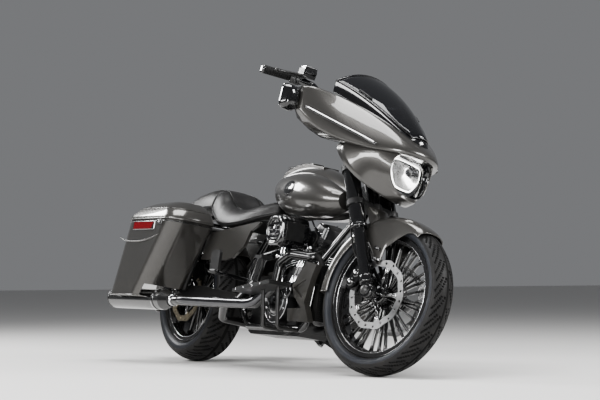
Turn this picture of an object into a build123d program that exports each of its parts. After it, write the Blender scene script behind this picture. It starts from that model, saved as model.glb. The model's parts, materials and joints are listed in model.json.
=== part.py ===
"""Touring cruiser motorcycle with a V-twin, a fork-mounted fairing and hard saddlebags, leaning on its side stand."""

import os
from math import atan2, cos, degrees, radians, sin, sqrt, tan

from build123d import *

# Driving dimensions, in millimetres and degrees. The machine is drawn upright with the steering straight:
# X forward, Y to the rider's left, Z up, the origin on the ground under the engine.

WHEELBASE = 1625
RAKE = 26
TRAIL = 170
LEAN = 9.62
STEER_REST = 13.54
ORIGIN_SHIFT_X = 3
ORIGIN_SHIFT_Y = -136
CLEARANCE = 5
RUNNING_FIT = 0.05
SHEET = 4

ENGINE_BAY = 467.5
FRONT_TYRE_R = 345
FRONT_TYRE_W = 130
FRONT_BEAD_R = 267
FRONT_RIM_W = 89
REAR_TYRE_R = 328
REAR_TYRE_W = 180
REAR_BEAD_R = 229
REAR_RIM_W = 140
RIM_LIP = 9
RIM_LIP_T = 6
HUB_R = 44
SPOKE_PAIRS = 10
REAR_SPOKES = 7
FRONT_AXLE_D = 25
REAR_AXLE_D = 25
FRONT_DISC_R = 158
REAR_DISC_R = 146
DISC_T = 5
FRONT_DISC_Y = 68
REAR_DISC_Y = 96
DISC_HOLES = 15
PULLEY_R = 130
BELT_W = 28
BELT_T = 6
BELT_Y = 118

FORK_SPREAD = 113
FORK_SETBACK = 10
SLIDER_R = 27
FORK_COVER_R = 36
FORK_TUBE_TOP = 640
COVER_BOTTOM = 318
LOWER_TREE = 424
UPPER_TREE = 600
TREE_T = 26
STEM_R = 15
NECK_R = 30

FENDER_GAP = 9
BAR_D = 32
GRIP_D = 37
GRIP_IN = 345
GRIP_OUT = 480

V_ANGLE = 45
CRANK_X = 150
CRANK_Z = 290
CASE_HALF_W = 95
DECK = 165
FIN_COUNT = 9
FIN_PITCH = 11
FIN_T = 4
FIN_R = 71
BARREL_R = 58
HEAD_H = 68
ROCKER_H = 46

FRAME_TUBE_D = 32
CRADLE_Y = 118
PIVOT_X = -235
PIVOT_Z = 300
UPRIGHT_Y = 84
RAIL_Y = 122
RAIL_Z = 700
RAIL_D = 25
DOCK_D = 19
DOCK_L = 26
DOCK_X = (-560, -800)
ARM_Y = 152
ARM_T = 22
PIPE_D = 45
MUFFLER_R = 50
MUFFLER_Y = 330
MUFFLER_Z = 262

BAG_IN = 205
BAG_OUT_TOP = 445
BAG_OUT_BOTTOM = 430
BAG_WALL = 4
BAG_OUTER_R = 84
BAG_INNER_R = 30
BAG_TOP_Z = 640
BAG_BOTTOM_Z = 264
BAG_FLOOR_Z = 332
LID_GAP = 1

DOOR_Z = 960.5
DOOR_T = 7
STAND_Y = 330
STAND_FOOT_R = 26

# Reference points, axes and planes.

FRONT_AXLE = Vector(ENGINE_BAY + FRONT_TYRE_R, 0, FRONT_TYRE_R)
REAR_AXLE = Vector(FRONT_AXLE.X - WHEELBASE, 0, REAR_TYRE_R)
STEER_UP = Vector(-sin(radians(RAKE)), 0, cos(radians(RAKE)))
STEER_AHEAD = Vector(cos(radians(RAKE)), 0, sin(radians(RAKE)))
STEER_FOOT = Vector(FRONT_AXLE.X + TRAIL, 0, 0)
AXLE_ALONG = (FRONT_AXLE - STEER_FOOT).dot(STEER_UP)
AXLE_AHEAD = (FRONT_AXLE - STEER_FOOT).dot(STEER_AHEAD)
CRANK = Vector(CRANK_X, 0, CRANK_Z)
BOTH_SIDES = (-1, 1)

# The fairing, bars and mirrors are drawn round a front axle at DRAWN_AXLE and carried along with the real one.
DRAWN_AXLE = Vector(812.5, 0, 345)
CARRY = FRONT_AXLE - DRAWN_AXLE
# The seats and the fuel tank's rails sit this much higher than drawn when the rear tyre grows.
SEAT_LIFT = 2 * REAR_TYRE_R - 656


def on_fork(along, ahead=0.0, left=0.0):
    """Point of the steering assembly: up the steering axis from the axle's level, ahead of the axis, to the left."""
    return STEER_FOOT + STEER_UP * (AXLE_ALONG + along) + STEER_AHEAD * ahead + Vector(0, left, 0)


def fork_plane(along, ahead=0.0, left=0.0):
    """Plane square to the steering axis: local x points ahead, local y to the left."""
    return Plane(origin=on_fork(along, ahead, left), x_dir=STEER_AHEAD, z_dir=STEER_UP)


def side_plane(y=0.0):
    """Plane of a side view: local x points forward, local y up, and it extrudes to the right."""
    return Plane(origin=(0, y, 0), x_dir=(1, 0, 0), z_dir=(0, -1, 0))


def cross_plane(x, z=0.0):
    """Plane across the machine: local x points left, local y up, and it extrudes forward."""
    return Plane(origin=(x, 0, z), x_dir=(0, 1, 0), z_dir=(1, 0, 0))


def axle_plane(axle):
    """Half-section plane of a wheel: local x runs along the axle to the left, local y is the radius."""
    return Plane(origin=axle, x_dir=(0, 1, 0), z_dir=(1, 0, 0))


def wheel_plane(axle, y=0.0):
    """Side plane of a wheel, centred on its axle."""
    return Plane(origin=axle + Vector(0, y, 0), x_dir=(1, 0, 0), z_dir=(0, -1, 0))


def cylinder_plane(lean_sign, along):
    """Plane square to a cylinder's axis, along millimetres from the crank."""
    tilt = radians(lean_sign * V_ANGLE / 2)
    direction = Vector(sin(tilt), 0, cos(tilt))
    return Plane(origin=CRANK + direction * along, x_dir=(cos(tilt), 0, -sin(tilt)), z_dir=direction)


def carried_side(y):
    """Side plane for the steering assembly's bodywork, carried along with the front axle."""
    return Plane(origin=CARRY + Vector(0, y, 0), x_dir=(1, 0, 0), z_dir=(0, -1, 0))


def carried(x, y, z):
    """Point of the steering assembly's bodywork, carried along with the front axle."""
    return CARRY + Vector(x, y, z)


def rod(start, end, diameter):
    """Adds a straight round bar between two points."""
    start = Vector(start)
    run = Vector(end) - start
    with BuildSketch(Plane(origin=start, z_dir=run)) as section:
        Circle(diameter / 2)
    extrude(section.sketch, amount=run.length)


def bent_tube(points, diameter, bend):
    """Adds a round tube that follows the points, with every corner bent to one radius."""
    with BuildLine() as centre:
        FilletPolyline(*points, radius=bend)
    with BuildSketch(Plane(origin=centre.line @ 0, z_dir=centre.line % 0)) as section:
        Circle(diameter / 2)
    sweep(section.sketch, path=centre.line)


def slab(plane, outline, thickness, corner=0.0, both=False):
    """Adds a flat plate with rounded corners from the outline drawn in a plane."""
    with BuildSketch(plane) as section:
        Polygon(*outline, align=None)
        if corner:
            fillet(section.vertices(), corner)
    extrude(section.sketch, amount=thickness, both=both)


# Rest pose: the fork turned about the steering axis, then the whole machine leaned until both tyres meet the floor.


def crown_half(width):
    """Half-breadth at which a tyre's crown meets its shoulder."""
    return 0.36 * width


def crown_drop(radius, bead_r):
    """How far a tyre's shoulder lies below the top of its crown."""
    return 0.18 * (radius - bead_r)


def height_of_contact(turned, axle, radius, width, bead_r):
    """Height of a tyre's lowest point once a placement has turned its wheel."""
    half = crown_half(width)
    drop = crown_drop(radius, bead_r)
    crown_r = (half**2 + drop**2) / (2 * drop)
    centre = (turned * Location(axle)).position
    axle_dir = (turned * Location(axle + Vector(0, 1, 0))).position - centre
    return centre.Z - (radius - crown_r) * sqrt(1 - axle_dir.Z**2) - crown_r


STEER_PLANE = Plane(origin=STEER_FOOT, x_dir=STEER_AHEAD, z_dir=STEER_UP)
STEERED = STEER_PLANE.location * Rot(Z=STEER_REST) * STEER_PLANE.location.inverse()
LEANED = Rot(X=-LEAN)
FRONT_RISE = height_of_contact(LEANED * STEERED, FRONT_AXLE, FRONT_TYRE_R, FRONT_TYRE_W, FRONT_BEAD_R)
REAR_RISE = height_of_contact(LEANED, REAR_AXLE, REAR_TYRE_R, REAR_TYRE_W, REAR_BEAD_R)
PITCH = degrees(atan2(FRONT_RISE - REAR_RISE, WHEELBASE))
PARKED = Pos(ORIGIN_SHIFT_X, ORIGIN_SHIFT_Y, -(FRONT_RISE + REAR_RISE) / 2) * Rot(Y=PITCH) * LEANED
FLOOR = Plane(PARKED.inverse())


def on_floor(x, y):
    """Point of the parked machine's floor under a point given ahead and to the left."""
    up = FLOOR.z_dir
    offset_x = x - FLOOR.origin.X
    offset_y = y - FLOOR.origin.Y
    return Vector(x, y, FLOOR.origin.Z - (up.X * offset_x + up.Y * offset_y) / up.Z)


# Hinges: where each one stands on the upright machine, and which way its axis runs.

FORWARD = Vector(1, 0, 0)
BOARD_HINGE = Vector(-208, 296, 412)
BOARD_PIN_D = 12
LID_HINGE = Vector(-715, BAG_OUT_TOP + 4, BAG_TOP_Z + LID_GAP / 2)
DOOR_HINGE = Vector(52, 36, DOOR_Z + DOOR_T / 2)
STAND_PIVOT = Vector(95, 168, 162)
STAND_PIN_D = 16
STAND_FOOT_AT = on_floor(187, STAND_Y)
STAND_LEG = (STAND_FOOT_AT - STAND_PIVOT).normalized()
STAND_AXIS = STAND_LEG.cross(Vector(-0.97, 0.15, -0.05)).normalized()

# Wheels: tyre, cast rim and brake discs.


def tyre(axle, radius, width, bead_r, rim_w):
    """Solid tyre: flat beads, bulging side walls, round shoulders and a crown of one arc."""
    half = width / 2
    bead = rim_w / 2 - RIM_LIP_T
    height = radius - bead_r
    lip = (rim_w / 2 + 1, bead_r + RIM_LIP + 2)
    wall = (half - 3, bead_r + 0.3 * height)
    widest = (half, bead_r + 0.5 * height)
    bend = (0.92 * half, bead_r + 0.7 * height)
    shoulder = (crown_half(width), radius - crown_drop(radius, bead_r))
    with BuildPart() as made:
        with BuildSketch(axle_plane(axle)):
            with BuildLine():
                Polyline((0, bead_r), (bead, bead_r), (bead, bead_r + RIM_LIP), lip)
                ThreePointArc(lip, wall, widest)
                ThreePointArc(widest, bend, shoulder)
                ThreePointArc(shoulder, (0, radius), (-shoulder[0], shoulder[1]))
                ThreePointArc((-shoulder[0], shoulder[1]), (-bend[0], bend[1]), (-widest[0], widest[1]))
                ThreePointArc((-widest[0], widest[1]), (-wall[0], wall[1]), (-lip[0], lip[1]))
                Polyline((-lip[0], lip[1]), (-bead, bead_r + RIM_LIP), (-bead, bead_r), (0, bead_r))
            make_face()
        revolve(axis=Axis(axle, (0, 1, 0)))
    return made


def rim_barrel(axle, bead_r, rim_w):
    """Adds a drop-centre barrel whose lips stand just outside the tyre's beads."""
    half = rim_w / 2
    bead = half - RIM_LIP_T
    well = bead_r - 22
    with BuildSketch(axle_plane(axle)) as section:
        with BuildLine():
            Polyline(
                (-half, bead_r + RIM_LIP), (-half, bead_r - 14), (-half * 0.45, well - 8), (half * 0.45, well - 8),
                (half, bead_r - 14), (half, bead_r + RIM_LIP), (bead, bead_r + RIM_LIP), (bead, bead_r),
                (bead - 10, bead_r), (bead - 22, well), (22 - bead, well), (10 - bead, bead_r),
                (-bead, bead_r), (-bead, bead_r + RIM_LIP), close=True,
            )
        make_face()
    revolve(section.sketch, axis=Axis(axle, (0, 1, 0)))


front_tyre = tyre(FRONT_AXLE, FRONT_TYRE_R, FRONT_TYRE_W, FRONT_BEAD_R, FRONT_RIM_W)

SPOKE_W = 11
SPOKE_DEPTH = 22
with BuildPart() as front_rim:
    rim_barrel(FRONT_AXLE, FRONT_BEAD_R, FRONT_RIM_W)
    with BuildSketch(wheel_plane(FRONT_AXLE)):
        with PolarLocations(0, SPOKE_PAIRS):
            for side in BOTH_SIDES:
                Polygon(
                    (HUB_R - 8, side * 4), (HUB_R - 8, side * (4 + SPOKE_W)),
                    (FRONT_BEAD_R - 24, side * (14 + SPOKE_W)), (FRONT_BEAD_R - 24, side * 14), align=None,
                )
    extrude(amount=SPOKE_DEPTH / 2, both=True)
    with BuildSketch(wheel_plane(FRONT_AXLE)):
        Circle(HUB_R)
    extrude(amount=FRONT_DISC_Y - DISC_T / 2, both=True)
    with Locations(wheel_plane(FRONT_AXLE)):
        Hole(FRONT_AXLE_D / 2 + RUNNING_FIT)


def disc(axle, y, radius, band, hub_radius):
    """Adds a petal brake disc: a wavy drilled ring on five carrier arms."""
    with BuildSketch(wheel_plane(axle, y)) as section:
        Circle(radius - 4)
        with PolarLocations(radius - 12, 10):
            Circle(14)
        Circle(radius - band, mode=Mode.SUBTRACT)
        with PolarLocations(0, 5):
            Polygon(
                (hub_radius - 6, -11), (hub_radius - 6, 11), (radius - band + 4, 20), (radius - band + 4, -20),
                align=None,
            )
        Circle(hub_radius)
        with PolarLocations(radius - band / 2, DISC_HOLES, start_angle=12):
            Circle(4.5, mode=Mode.SUBTRACT)
    extrude(section.sketch, amount=DISC_T / 2, both=True)


with BuildPart() as front_discs:
    for side in BOTH_SIDES:
        disc(FRONT_AXLE, side * FRONT_DISC_Y, FRONT_DISC_R, 34, HUB_R)
    with Locations(wheel_plane(FRONT_AXLE)):
        Hole(FRONT_AXLE_D / 2 + RUNNING_FIT)

rear_tyre = tyre(REAR_AXLE, REAR_TYRE_R, REAR_TYRE_W, REAR_BEAD_R, REAR_RIM_W)

with BuildPart() as rear_rim:
    rim_barrel(REAR_AXLE, REAR_BEAD_R, REAR_RIM_W)
    with BuildSketch(wheel_plane(REAR_AXLE)):
        with PolarLocations(0, REAR_SPOKES):
            Polygon(
                (HUB_R - 8, -20), (HUB_R - 8, 20), (REAR_BEAD_R - 24, 12), (REAR_BEAD_R - 24, -12), align=None,
            )
    extrude(amount=18, both=True)
    with BuildSketch(wheel_plane(REAR_AXLE)):
        Circle(HUB_R)
    extrude(amount=REAR_DISC_Y - DISC_T / 2, both=True)
    with Locations(wheel_plane(REAR_AXLE)):
        Hole(REAR_AXLE_D / 2 + RUNNING_FIT)

with BuildPart() as rear_disc_and_pulley:
    disc(REAR_AXLE, -REAR_DISC_Y, REAR_DISC_R, 34, HUB_R)
    with BuildSketch(wheel_plane(REAR_AXLE, BELT_Y)):
        Circle(PULLEY_R)
        Circle(PULLEY_R - 16, mode=Mode.SUBTRACT)
        with PolarLocations(0, 5):
            Rectangle(PULLEY_R - 8, 22, align=(Align.MIN, Align.CENTER))
        Circle(HUB_R)
    extrude(amount=BELT_W / 2, both=True)
    with BuildSketch(wheel_plane(REAR_AXLE, REAR_DISC_Y - DISC_T / 2)):
        Circle(HUB_R)
    extrude(amount=REAR_DISC_Y - DISC_T / 2 - BELT_Y + BELT_W / 2)
    with Locations(wheel_plane(REAR_AXLE)):
        Hole(REAR_AXLE_D / 2 + RUNNING_FIT)

# Steering assembly: trees, fork legs, axle, fender, fairing, screen, lamps, bars and mirrors.

AXLE_HALF = 146
with BuildPart() as front_axle:
    with BuildSketch(wheel_plane(FRONT_AXLE)):
        Circle(FRONT_AXLE_D / 2)
    extrude(amount=AXLE_HALF, both=True)

with BuildPart() as fork_legs:
    for side in BOTH_SIDES:
        y = side * FORK_SPREAD
        with BuildSketch(fork_plane(-8, -FORK_SETBACK, y)):
            Circle(SLIDER_R)
        extrude(amount=COVER_BOTTOM + 16)
        with BuildSketch(fork_plane(COVER_BOTTOM - 6, -FORK_SETBACK, y)):
            Circle(FORK_COVER_R)
        extrude(amount=UPPER_TREE - COVER_BOTTOM + 6)
        with BuildSketch(fork_plane(UPPER_TREE, -FORK_SETBACK, y)):
            Circle(SLIDER_R - 3)
        extrude(amount=FORK_TUBE_TOP - UPPER_TREE)
        with BuildSketch(wheel_plane(FRONT_AXLE, y)):
            Circle(31)
        extrude(amount=SLIDER_R + 4, both=True)
    add(front_axle.part, mode=Mode.SUBTRACT)

with BuildPart() as triple_trees:
    for along in (LOWER_TREE, UPPER_TREE):
        with BuildSketch(fork_plane(along)):
            with Locations((0, 0)):
                Circle(36)
            with Locations((-FORK_SETBACK, -FORK_SPREAD), (-FORK_SETBACK, FORK_SPREAD)):
                Circle(FORK_COVER_R + 6)
            with Locations((-FORK_SETBACK / 2, 0)):
                Rectangle(58, 2 * FORK_SPREAD)
        extrude(amount=TREE_T)
    with BuildSketch(fork_plane(LOWER_TREE)):
        Circle(STEM_R)
    extrude(amount=UPPER_TREE - LOWER_TREE)
    add(fork_legs.part, mode=Mode.SUBTRACT)

FENDER_HALF_W = 71
FENDER_SKIRT = 46
FENDER_FRONT_DEG = 57
FENDER_REAR_DEG = 181
# Outlines of the fender's side cheek and of the stay below it: ahead of the axle and above it, as fractions of
# the tyre's radius.
FENDER_CHEEK = ((0, 0.588), (0.168, 0.704), (0.319, 0.771), (0.475, 0.8), (0.406, 0.904), (-0.29, 0.957),
                (-0.325, 0.87))
FENDER_STAY = ((-0.128, 0.388), (-0.023, 0.377)) + FENDER_CHEEK + ((-0.214, 0.58),)


def arc_channel(axle, inner_r, half_w, skirt, front_deg, rear_deg):
    """Adds a channel-section mudguard swept about the axle between two angles above the horizontal."""
    out = Vector(cos(radians(front_deg)), 0, sin(radians(front_deg)))
    crown = half_w - 26
    outer = half_w + SHEET
    with BuildSketch(Plane(origin=axle, x_dir=(0, 1, 0), z_dir=Vector(0, 1, 0).cross(out))) as section:
        Polygon(
            (-half_w, inner_r - skirt), (-half_w, inner_r - 22), (-crown, inner_r), (crown, inner_r),
            (half_w, inner_r - 22), (half_w, inner_r - skirt), (outer, inner_r - skirt), (outer, inner_r - 20),
            (crown + 2, inner_r + SHEET), (-crown - 2, inner_r + SHEET), (-outer, inner_r - 20),
            (-outer, inner_r - skirt), align=None,
        )
    revolve(section.sketch, axis=Axis(axle, (0, -1, 0)), revolution_arc=rear_deg - front_deg)


with BuildPart() as front_fender:
    arc_channel(FRONT_AXLE, FRONT_TYRE_R + FENDER_GAP, FENDER_HALF_W, FENDER_SKIRT, FENDER_FRONT_DEG, FENDER_REAR_DEG)
    for side in BOTH_SIDES:
        with BuildSketch(wheel_plane(FRONT_AXLE, side * (FENDER_HALF_W + SHEET + 3))):
            Polygon(
                *((FRONT_TYRE_R * x, FRONT_TYRE_R * z) for x, z in FENDER_STAY), align=None,
            )
        extrude(amount=3, both=True)
        with BuildSketch(wheel_plane(FRONT_AXLE, side * (FENDER_HALF_W + SHEET / 2))):
            Polygon(*((FRONT_TYRE_R * x, FRONT_TYRE_R * z) for x, z in FENDER_CHEEK), align=None)
        extrude(amount=SHEET / 2, both=True)

with BuildPart() as front_calipers:
    for side in BOTH_SIDES:
        with BuildSketch(wheel_plane(FRONT_AXLE, side * FRONT_DISC_Y)):
            with BuildLine():
                Polyline((-82, 150), (-150, 98), (-172, 20), (-140, 8), (-96, 60), (-60, 104), close=True)
            make_face()
        extrude(amount=24, both=True)
        with BuildSketch(wheel_plane(FRONT_AXLE, side * FRONT_DISC_Y)):
            Circle(FRONT_DISC_R + 6)
        extrude(amount=DISC_T / 2 + 2, both=True, mode=Mode.SUBTRACT)
    add(fork_legs.part, mode=Mode.SUBTRACT)

# Fairing: each row is a station across the machine: half-breadth, then the corners of the closed profile there,
# as (forward, up): lower front edge, bulge, ridge, top, back upper and back lower.
FAIRING_STATIONS = (
    (0, (868, 968), (888, 980), (874, 1004), (796, 1080), (560, 1185), (520, 1000)),
    (90, (848, 966), (866, 980), (850, 1004), (748, 1096), (545, 1190), (505, 1000)),
    (145, (806, 964), (826, 982), (752, 1076), (650, 1150), (525, 1192), (495, 1000)),
    (200, (742, 960), (758, 978), (626, 1144), (580, 1172), (505, 1192), (485, 995)),
    (270, (628, 972), (652, 1004), (530, 1182), (505, 1192), (480, 1188), (462, 992)),
    (330, (556, 990), (566, 1062), (494, 1190), (470, 1196), (445, 1188), (440, 1010)),
    (385, (490, 1028), (492, 1110), (466, 1194), (445, 1198), (408, 1188), (410, 1045)),
    (418, (448, 1075), (452, 1120), (446, 1178), (430, 1190), (408, 1180), (408, 1090)),
)
# Nose below the wings: height, rear edge and its half-breadth, shoulder and its half-breadth, front.
NOSE_STATIONS = (
    (1000, 470, 200, 772, 138, 822),
    (930, 528, 202, 778, 138, 800),
    (860, 602, 184, 790, 118, 812),
    (800, 690, 128, 800, 88, 818),
    (766, 760, 62, 812, 48, 822),
)
FAIRING_WALL = 5
DASH_T = 16
DASH_REACH = 3 * DASH_T
DASH_OVERRUN = 0.08
BROW_Z = 979


def fairing_wings(inset=0.0):
    """Adds the full-width upper fairing, or the hollow inside it."""
    sections = []
    for side, rows in ((1, FAIRING_STATIONS[:0:-1]), (-1, FAIRING_STATIONS)):
        for half, *corners in rows:
            with BuildSketch(carried_side(side * max(half - inset, 0))) as section:
                Polygon(*corners, align=None)
                if inset:
                    offset(amount=-inset, kind=Kind.INTERSECTION)
            sections.append(section.sketch)
    loft(sections, ruled=True)


def fairing_nose(inset=0.0):
    """Adds the nose that carries the headlamp below the wings, or the hollow inside it."""
    sections = []
    for height, rear_x, rear_half, shoulder_x, shoulder_half, front_x in NOSE_STATIONS:
        with BuildSketch(Plane(origin=carried(0, 0, height))) as section:
            with BuildLine():
                ThreePointArc((shoulder_x, -shoulder_half), (front_x, 0), (shoulder_x, shoulder_half))
                Line((shoulder_x, shoulder_half), (rear_x, rear_half))
                Line((rear_x, rear_half), (rear_x, -rear_half))
                Line((rear_x, -rear_half), (shoulder_x, -shoulder_half))
            make_face()
            if inset:
                offset(amount=-inset, kind=Kind.INTERSECTION)
        sections.append(section.sketch)
    loft(sections, ruled=True)


LAMP_PLANE = Plane(origin=carried(753, 0, 898), x_dir=(0, 1, 0), z_dir=(1, 0, 0))
LAMP_DEPTH = 42
BEZEL = 24


def dash_panel(behind=0.0, overrun=0.0):
    """Adds the panel that closes the wings from behind, or the room for it with its edges run on."""
    sections = []
    for side, rows in ((1, FAIRING_STATIONS[:0:-1]), (-1, FAIRING_STATIONS)):
        for half, _, _, _, _, upper, lower in rows:
            run, rise = (upper[0] - lower[0]) * overrun, (upper[1] - lower[1]) * overrun
            foot = (lower[0] - run, lower[1] - rise)
            top = (upper[0] + run, upper[1] + rise)
            with BuildSketch(carried_side(side * half)) as section:
                Polygon((foot[0] - behind, foot[1]), (top[0] - behind, top[1]), (top[0] + DASH_T, top[1]),
                        (foot[0] + DASH_T, foot[1]), align=None)
            sections.append(section.sketch)
    loft(sections, ruled=True)


def lamp_outline(margin=0.0):
    """Sketches the headlamp's shield shape, grown by a margin."""
    with BuildSketch(LAMP_PLANE) as section:
        Polygon((-95, 66), (95, 66), (100, 0), (54, -66), (-54, -66), (-100, 0), align=None)
        fillet(section.vertices(), 14)
        if margin:
            offset(amount=margin)
    return section.sketch


with BuildPart() as headlamp:
    extrude(lamp_outline(), amount=-LAMP_DEPTH)
    with BuildPart(mode=Mode.PRIVATE) as bezel:
        extrude(lamp_outline(BEZEL), amount=-LAMP_DEPTH)
        extrude(lamp_outline(BEZEL + 1), amount=-LAMP_DEPTH / 2, mode=Mode.SUBTRACT)
    add(bezel.part)

with BuildPart() as fairing_inner:
    dash_panel()
    for y in (-60, 60):
        with BuildSketch(Plane(origin=carried(548, y, 1105), x_dir=(0, 1, 0), z_dir=(-1, 0, 0.1))) as gauge:
            Circle(42)
        extrude(gauge.sketch, amount=40)

with BuildPart() as fairing_outer:
    fairing_wings()
    fairing_nose()
    with BuildPart(mode=Mode.PRIVATE) as hollow:
        fairing_wings(FAIRING_WALL)
        fairing_nose(FAIRING_WALL)
    add(hollow.part, mode=Mode.SUBTRACT)
    with BuildPart(mode=Mode.PRIVATE) as mouth:
        extrude(lamp_outline(BEZEL), amount=120, dir=(1, 0, 0))
        extrude(lamp_outline(BEZEL), amount=-2 * LAMP_DEPTH)
        split(bisect_by=Plane(origin=carried(0, 0, BROW_Z)), keep=Keep.BOTTOM)
    add(mouth.part, mode=Mode.SUBTRACT)
    add(headlamp.part, mode=Mode.SUBTRACT)
    with BuildPart(mode=Mode.PRIVATE) as dash_room:
        dash_panel(behind=DASH_REACH, overrun=DASH_OVERRUN)
    add(dash_room.part, mode=Mode.SUBTRACT)
    with Locations(carried(520, 0, 928)):
        Box(160, 2 * FORK_SPREAD + 134, 168, mode=Mode.SUBTRACT)

# Screen sections across the machine: x, half-breadth, height at the centre, height at the edge.
SCREEN_SECTIONS = ((806, 52, 1068, 1060), (620, 168, 1250, 1190), (456, 244, 1358, 1268))
SCREEN_T = 4
with BuildPart() as windscreen:
    for x, half, centre_z, edge_z in SCREEN_SECTIONS:
        with BuildSketch(Plane(origin=carried(x, 0, 0), x_dir=(0, 1, 0), z_dir=(1, 0, 0))):
            with BuildLine():
                ThreePointArc((-half, edge_z), (0, centre_z), (half, edge_z))
                Line((half, edge_z), (half, edge_z + SCREEN_T))
                ThreePointArc((half, edge_z + SCREEN_T), (0, centre_z + SCREEN_T), (-half, edge_z + SCREEN_T))
                Line((-half, edge_z + SCREEN_T), (-half, edge_z))
            make_face()
    loft()
    add(fairing_outer.part, mode=Mode.SUBTRACT)

# Corners of the light strips on the wings: half-breadth, x, height.
STRIP_ROUTE = ((400, 468, 1106), (300, 606, 1040), (212, 738, 985))
with BuildPart() as fairing_lights:
    for side in BOTH_SIDES:
        for (y0, x0, z0), (y1, x1, z1) in zip(STRIP_ROUTE, STRIP_ROUTE[1:]):
            rod(carried(x0, side * y0, z0), carried(x1, side * y1, z1), 18)
    add(fairing_outer.part, mode=Mode.SUBTRACT)
    add(hollow.part, mode=Mode.SUBTRACT)

# Handlebar corners from the middle to the grip: half-breadth, x, height.
BAR_ROUTE = ((46, 452, 985), (150, 420, 1120), (262, 330, 1238), (GRIP_IN, 255, 1256))
GRIP_END = carried(216, GRIP_OUT, 1248)
with BuildPart() as handlebar:
    half_route = [carried(x, y, z) for y, x, z in BAR_ROUTE]
    bent_tube([Vector(p.X, -p.Y, p.Z) for p in reversed(half_route)] + half_route, BAR_D, 42)
    for side in BOTH_SIDES:
        rod(on_fork(UPPER_TREE + TREE_T, -6, side * 34), carried(452, side * 34, 985), 30)
    add(triple_trees.part, mode=Mode.SUBTRACT)

with BuildPart() as grips:
    for side in BOTH_SIDES:
        inner = carried(BAR_ROUTE[-1][1], side * GRIP_IN, BAR_ROUTE[-1][2])
        rod(inner, (GRIP_END.X, side * GRIP_END.Y, GRIP_END.Z), GRIP_D)
    add(handlebar.part, mode=Mode.SUBTRACT)

with BuildPart() as hand_controls:
    for side in BOTH_SIDES:
        rod(carried(285, side * 308, 1250), carried(258, side * (GRIP_IN - 6), 1255.5), 50)
        with Locations(Location(carried(312, side * 296, 1284), (0, 12, side * 14))):
            Box(52, 66, 34)
        rod(carried(330, side * 318, 1262), carried(296, side * 468, 1244), 13)
        rod(carried(300, side * 322, 1256), carried(332, side * 322, 1262), 16)
    add(handlebar.part, mode=Mode.SUBTRACT)
    add(grips.part, mode=Mode.SUBTRACT)

MIRROR_AT = carried(409, 447, 1122)
with BuildPart() as mirrors:
    for side in BOTH_SIDES:
        with BuildSketch(Plane(origin=(MIRROR_AT.X - 24, side * MIRROR_AT.Y, MIRROR_AT.Z), x_dir=(0, 1, 0),
                               z_dir=(1, 0, 0))):
            RectangleRounded(92, 118, 22)
        with BuildSketch(Plane(origin=(MIRROR_AT.X + 26, side * (MIRROR_AT.Y - 6), MIRROR_AT.Z), x_dir=(0, 1, 0),
                               z_dir=(1, 0, 0))):
            RectangleRounded(52, 76, 20)
        loft()
        rod((MIRROR_AT.X, side * (MIRROR_AT.Y - 20), MIRROR_AT.Z + 8), carried(436, side * 392, 1140), 18)
    add(fairing_outer.part, mode=Mode.SUBTRACT)
    add(fairing_inner.part, mode=Mode.SUBTRACT)
    add(hollow.part, mode=Mode.SUBTRACT)

# Frame, swingarm and suspension.

with BuildPart() as frame:
    with BuildSketch(fork_plane(LOWER_TREE + TREE_T + 2)):
        Circle(NECK_R)
    extrude(amount=UPPER_TREE - LOWER_TREE - TREE_T - 4)
    slab(side_plane(), ((592, 776), (566, 848), (430, 800), (0, 782), (-70, 762), (-170, 735), (-170, 690),
                        (0, 702), (430, 728)), 28, both=True)
    for side in BOTH_SIDES:
        bent_tube(
            [(560, side * 20, 790), (500, side * 26, 670), (392, side * 100, 478), (374, side * CRADLE_Y, 178),
             (-120, side * CRADLE_Y, 178), (PIVOT_X, side * UPRIGHT_Y, 236), (PIVOT_X, side * UPRIGHT_Y, 440),
             (-130, side * 24, 725)], FRAME_TUBE_D, 40)
        bent_tube([(-120, side * 20, 712), (-262, side * RAIL_Y, RAIL_Z - 6), (-560, side * RAIL_Y, RAIL_Z),
                   (-880, side * RAIL_Y, RAIL_Z)], RAIL_D, 60)
        for x in DOCK_X:
            rod((x, side * RAIL_Y, RAIL_Z), (x, side * (RAIL_Y + RAIL_D / 2 + DOCK_L), RAIL_Z), DOCK_D)
        rod((PIVOT_X, side * UPRIGHT_Y, 400), (-257, side * BOARD_HINGE.Y, BOARD_HINGE.Z), 20)
        rod((-262, side * BOARD_HINGE.Y, BOARD_HINGE.Z), (-170, side * BOARD_HINGE.Y, BOARD_HINGE.Z), BOARD_PIN_D)
    rod((-875, -RAIL_Y, RAIL_Z), (-875, RAIL_Y, RAIL_Z), RAIL_D - 5)
    rod((STAND_PIVOT.X, CRADLE_Y - 4, 164), STAND_PIVOT - STAND_AXIS * 27, 18)
    rod(STAND_PIVOT - STAND_AXIS * 33, STAND_PIVOT - STAND_AXIS * 19, 34)
    rod(STAND_PIVOT - STAND_AXIS * 33, STAND_PIVOT + STAND_AXIS * 16, STAND_PIN_D)
    rod(STAND_PIVOT + STAND_AXIS * 14, STAND_PIVOT + STAND_AXIS * 19, 24)
    rod((PIVOT_X, -ARM_Y + ARM_T / 2, PIVOT_Z), (PIVOT_X, ARM_Y - ARM_T / 2, PIVOT_Z), 44)
    with Locations(fork_plane(LOWER_TREE)):
        Cylinder(STEM_R + RUNNING_FIT, 2 * (UPPER_TREE - LOWER_TREE), mode=Mode.SUBTRACT)

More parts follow.
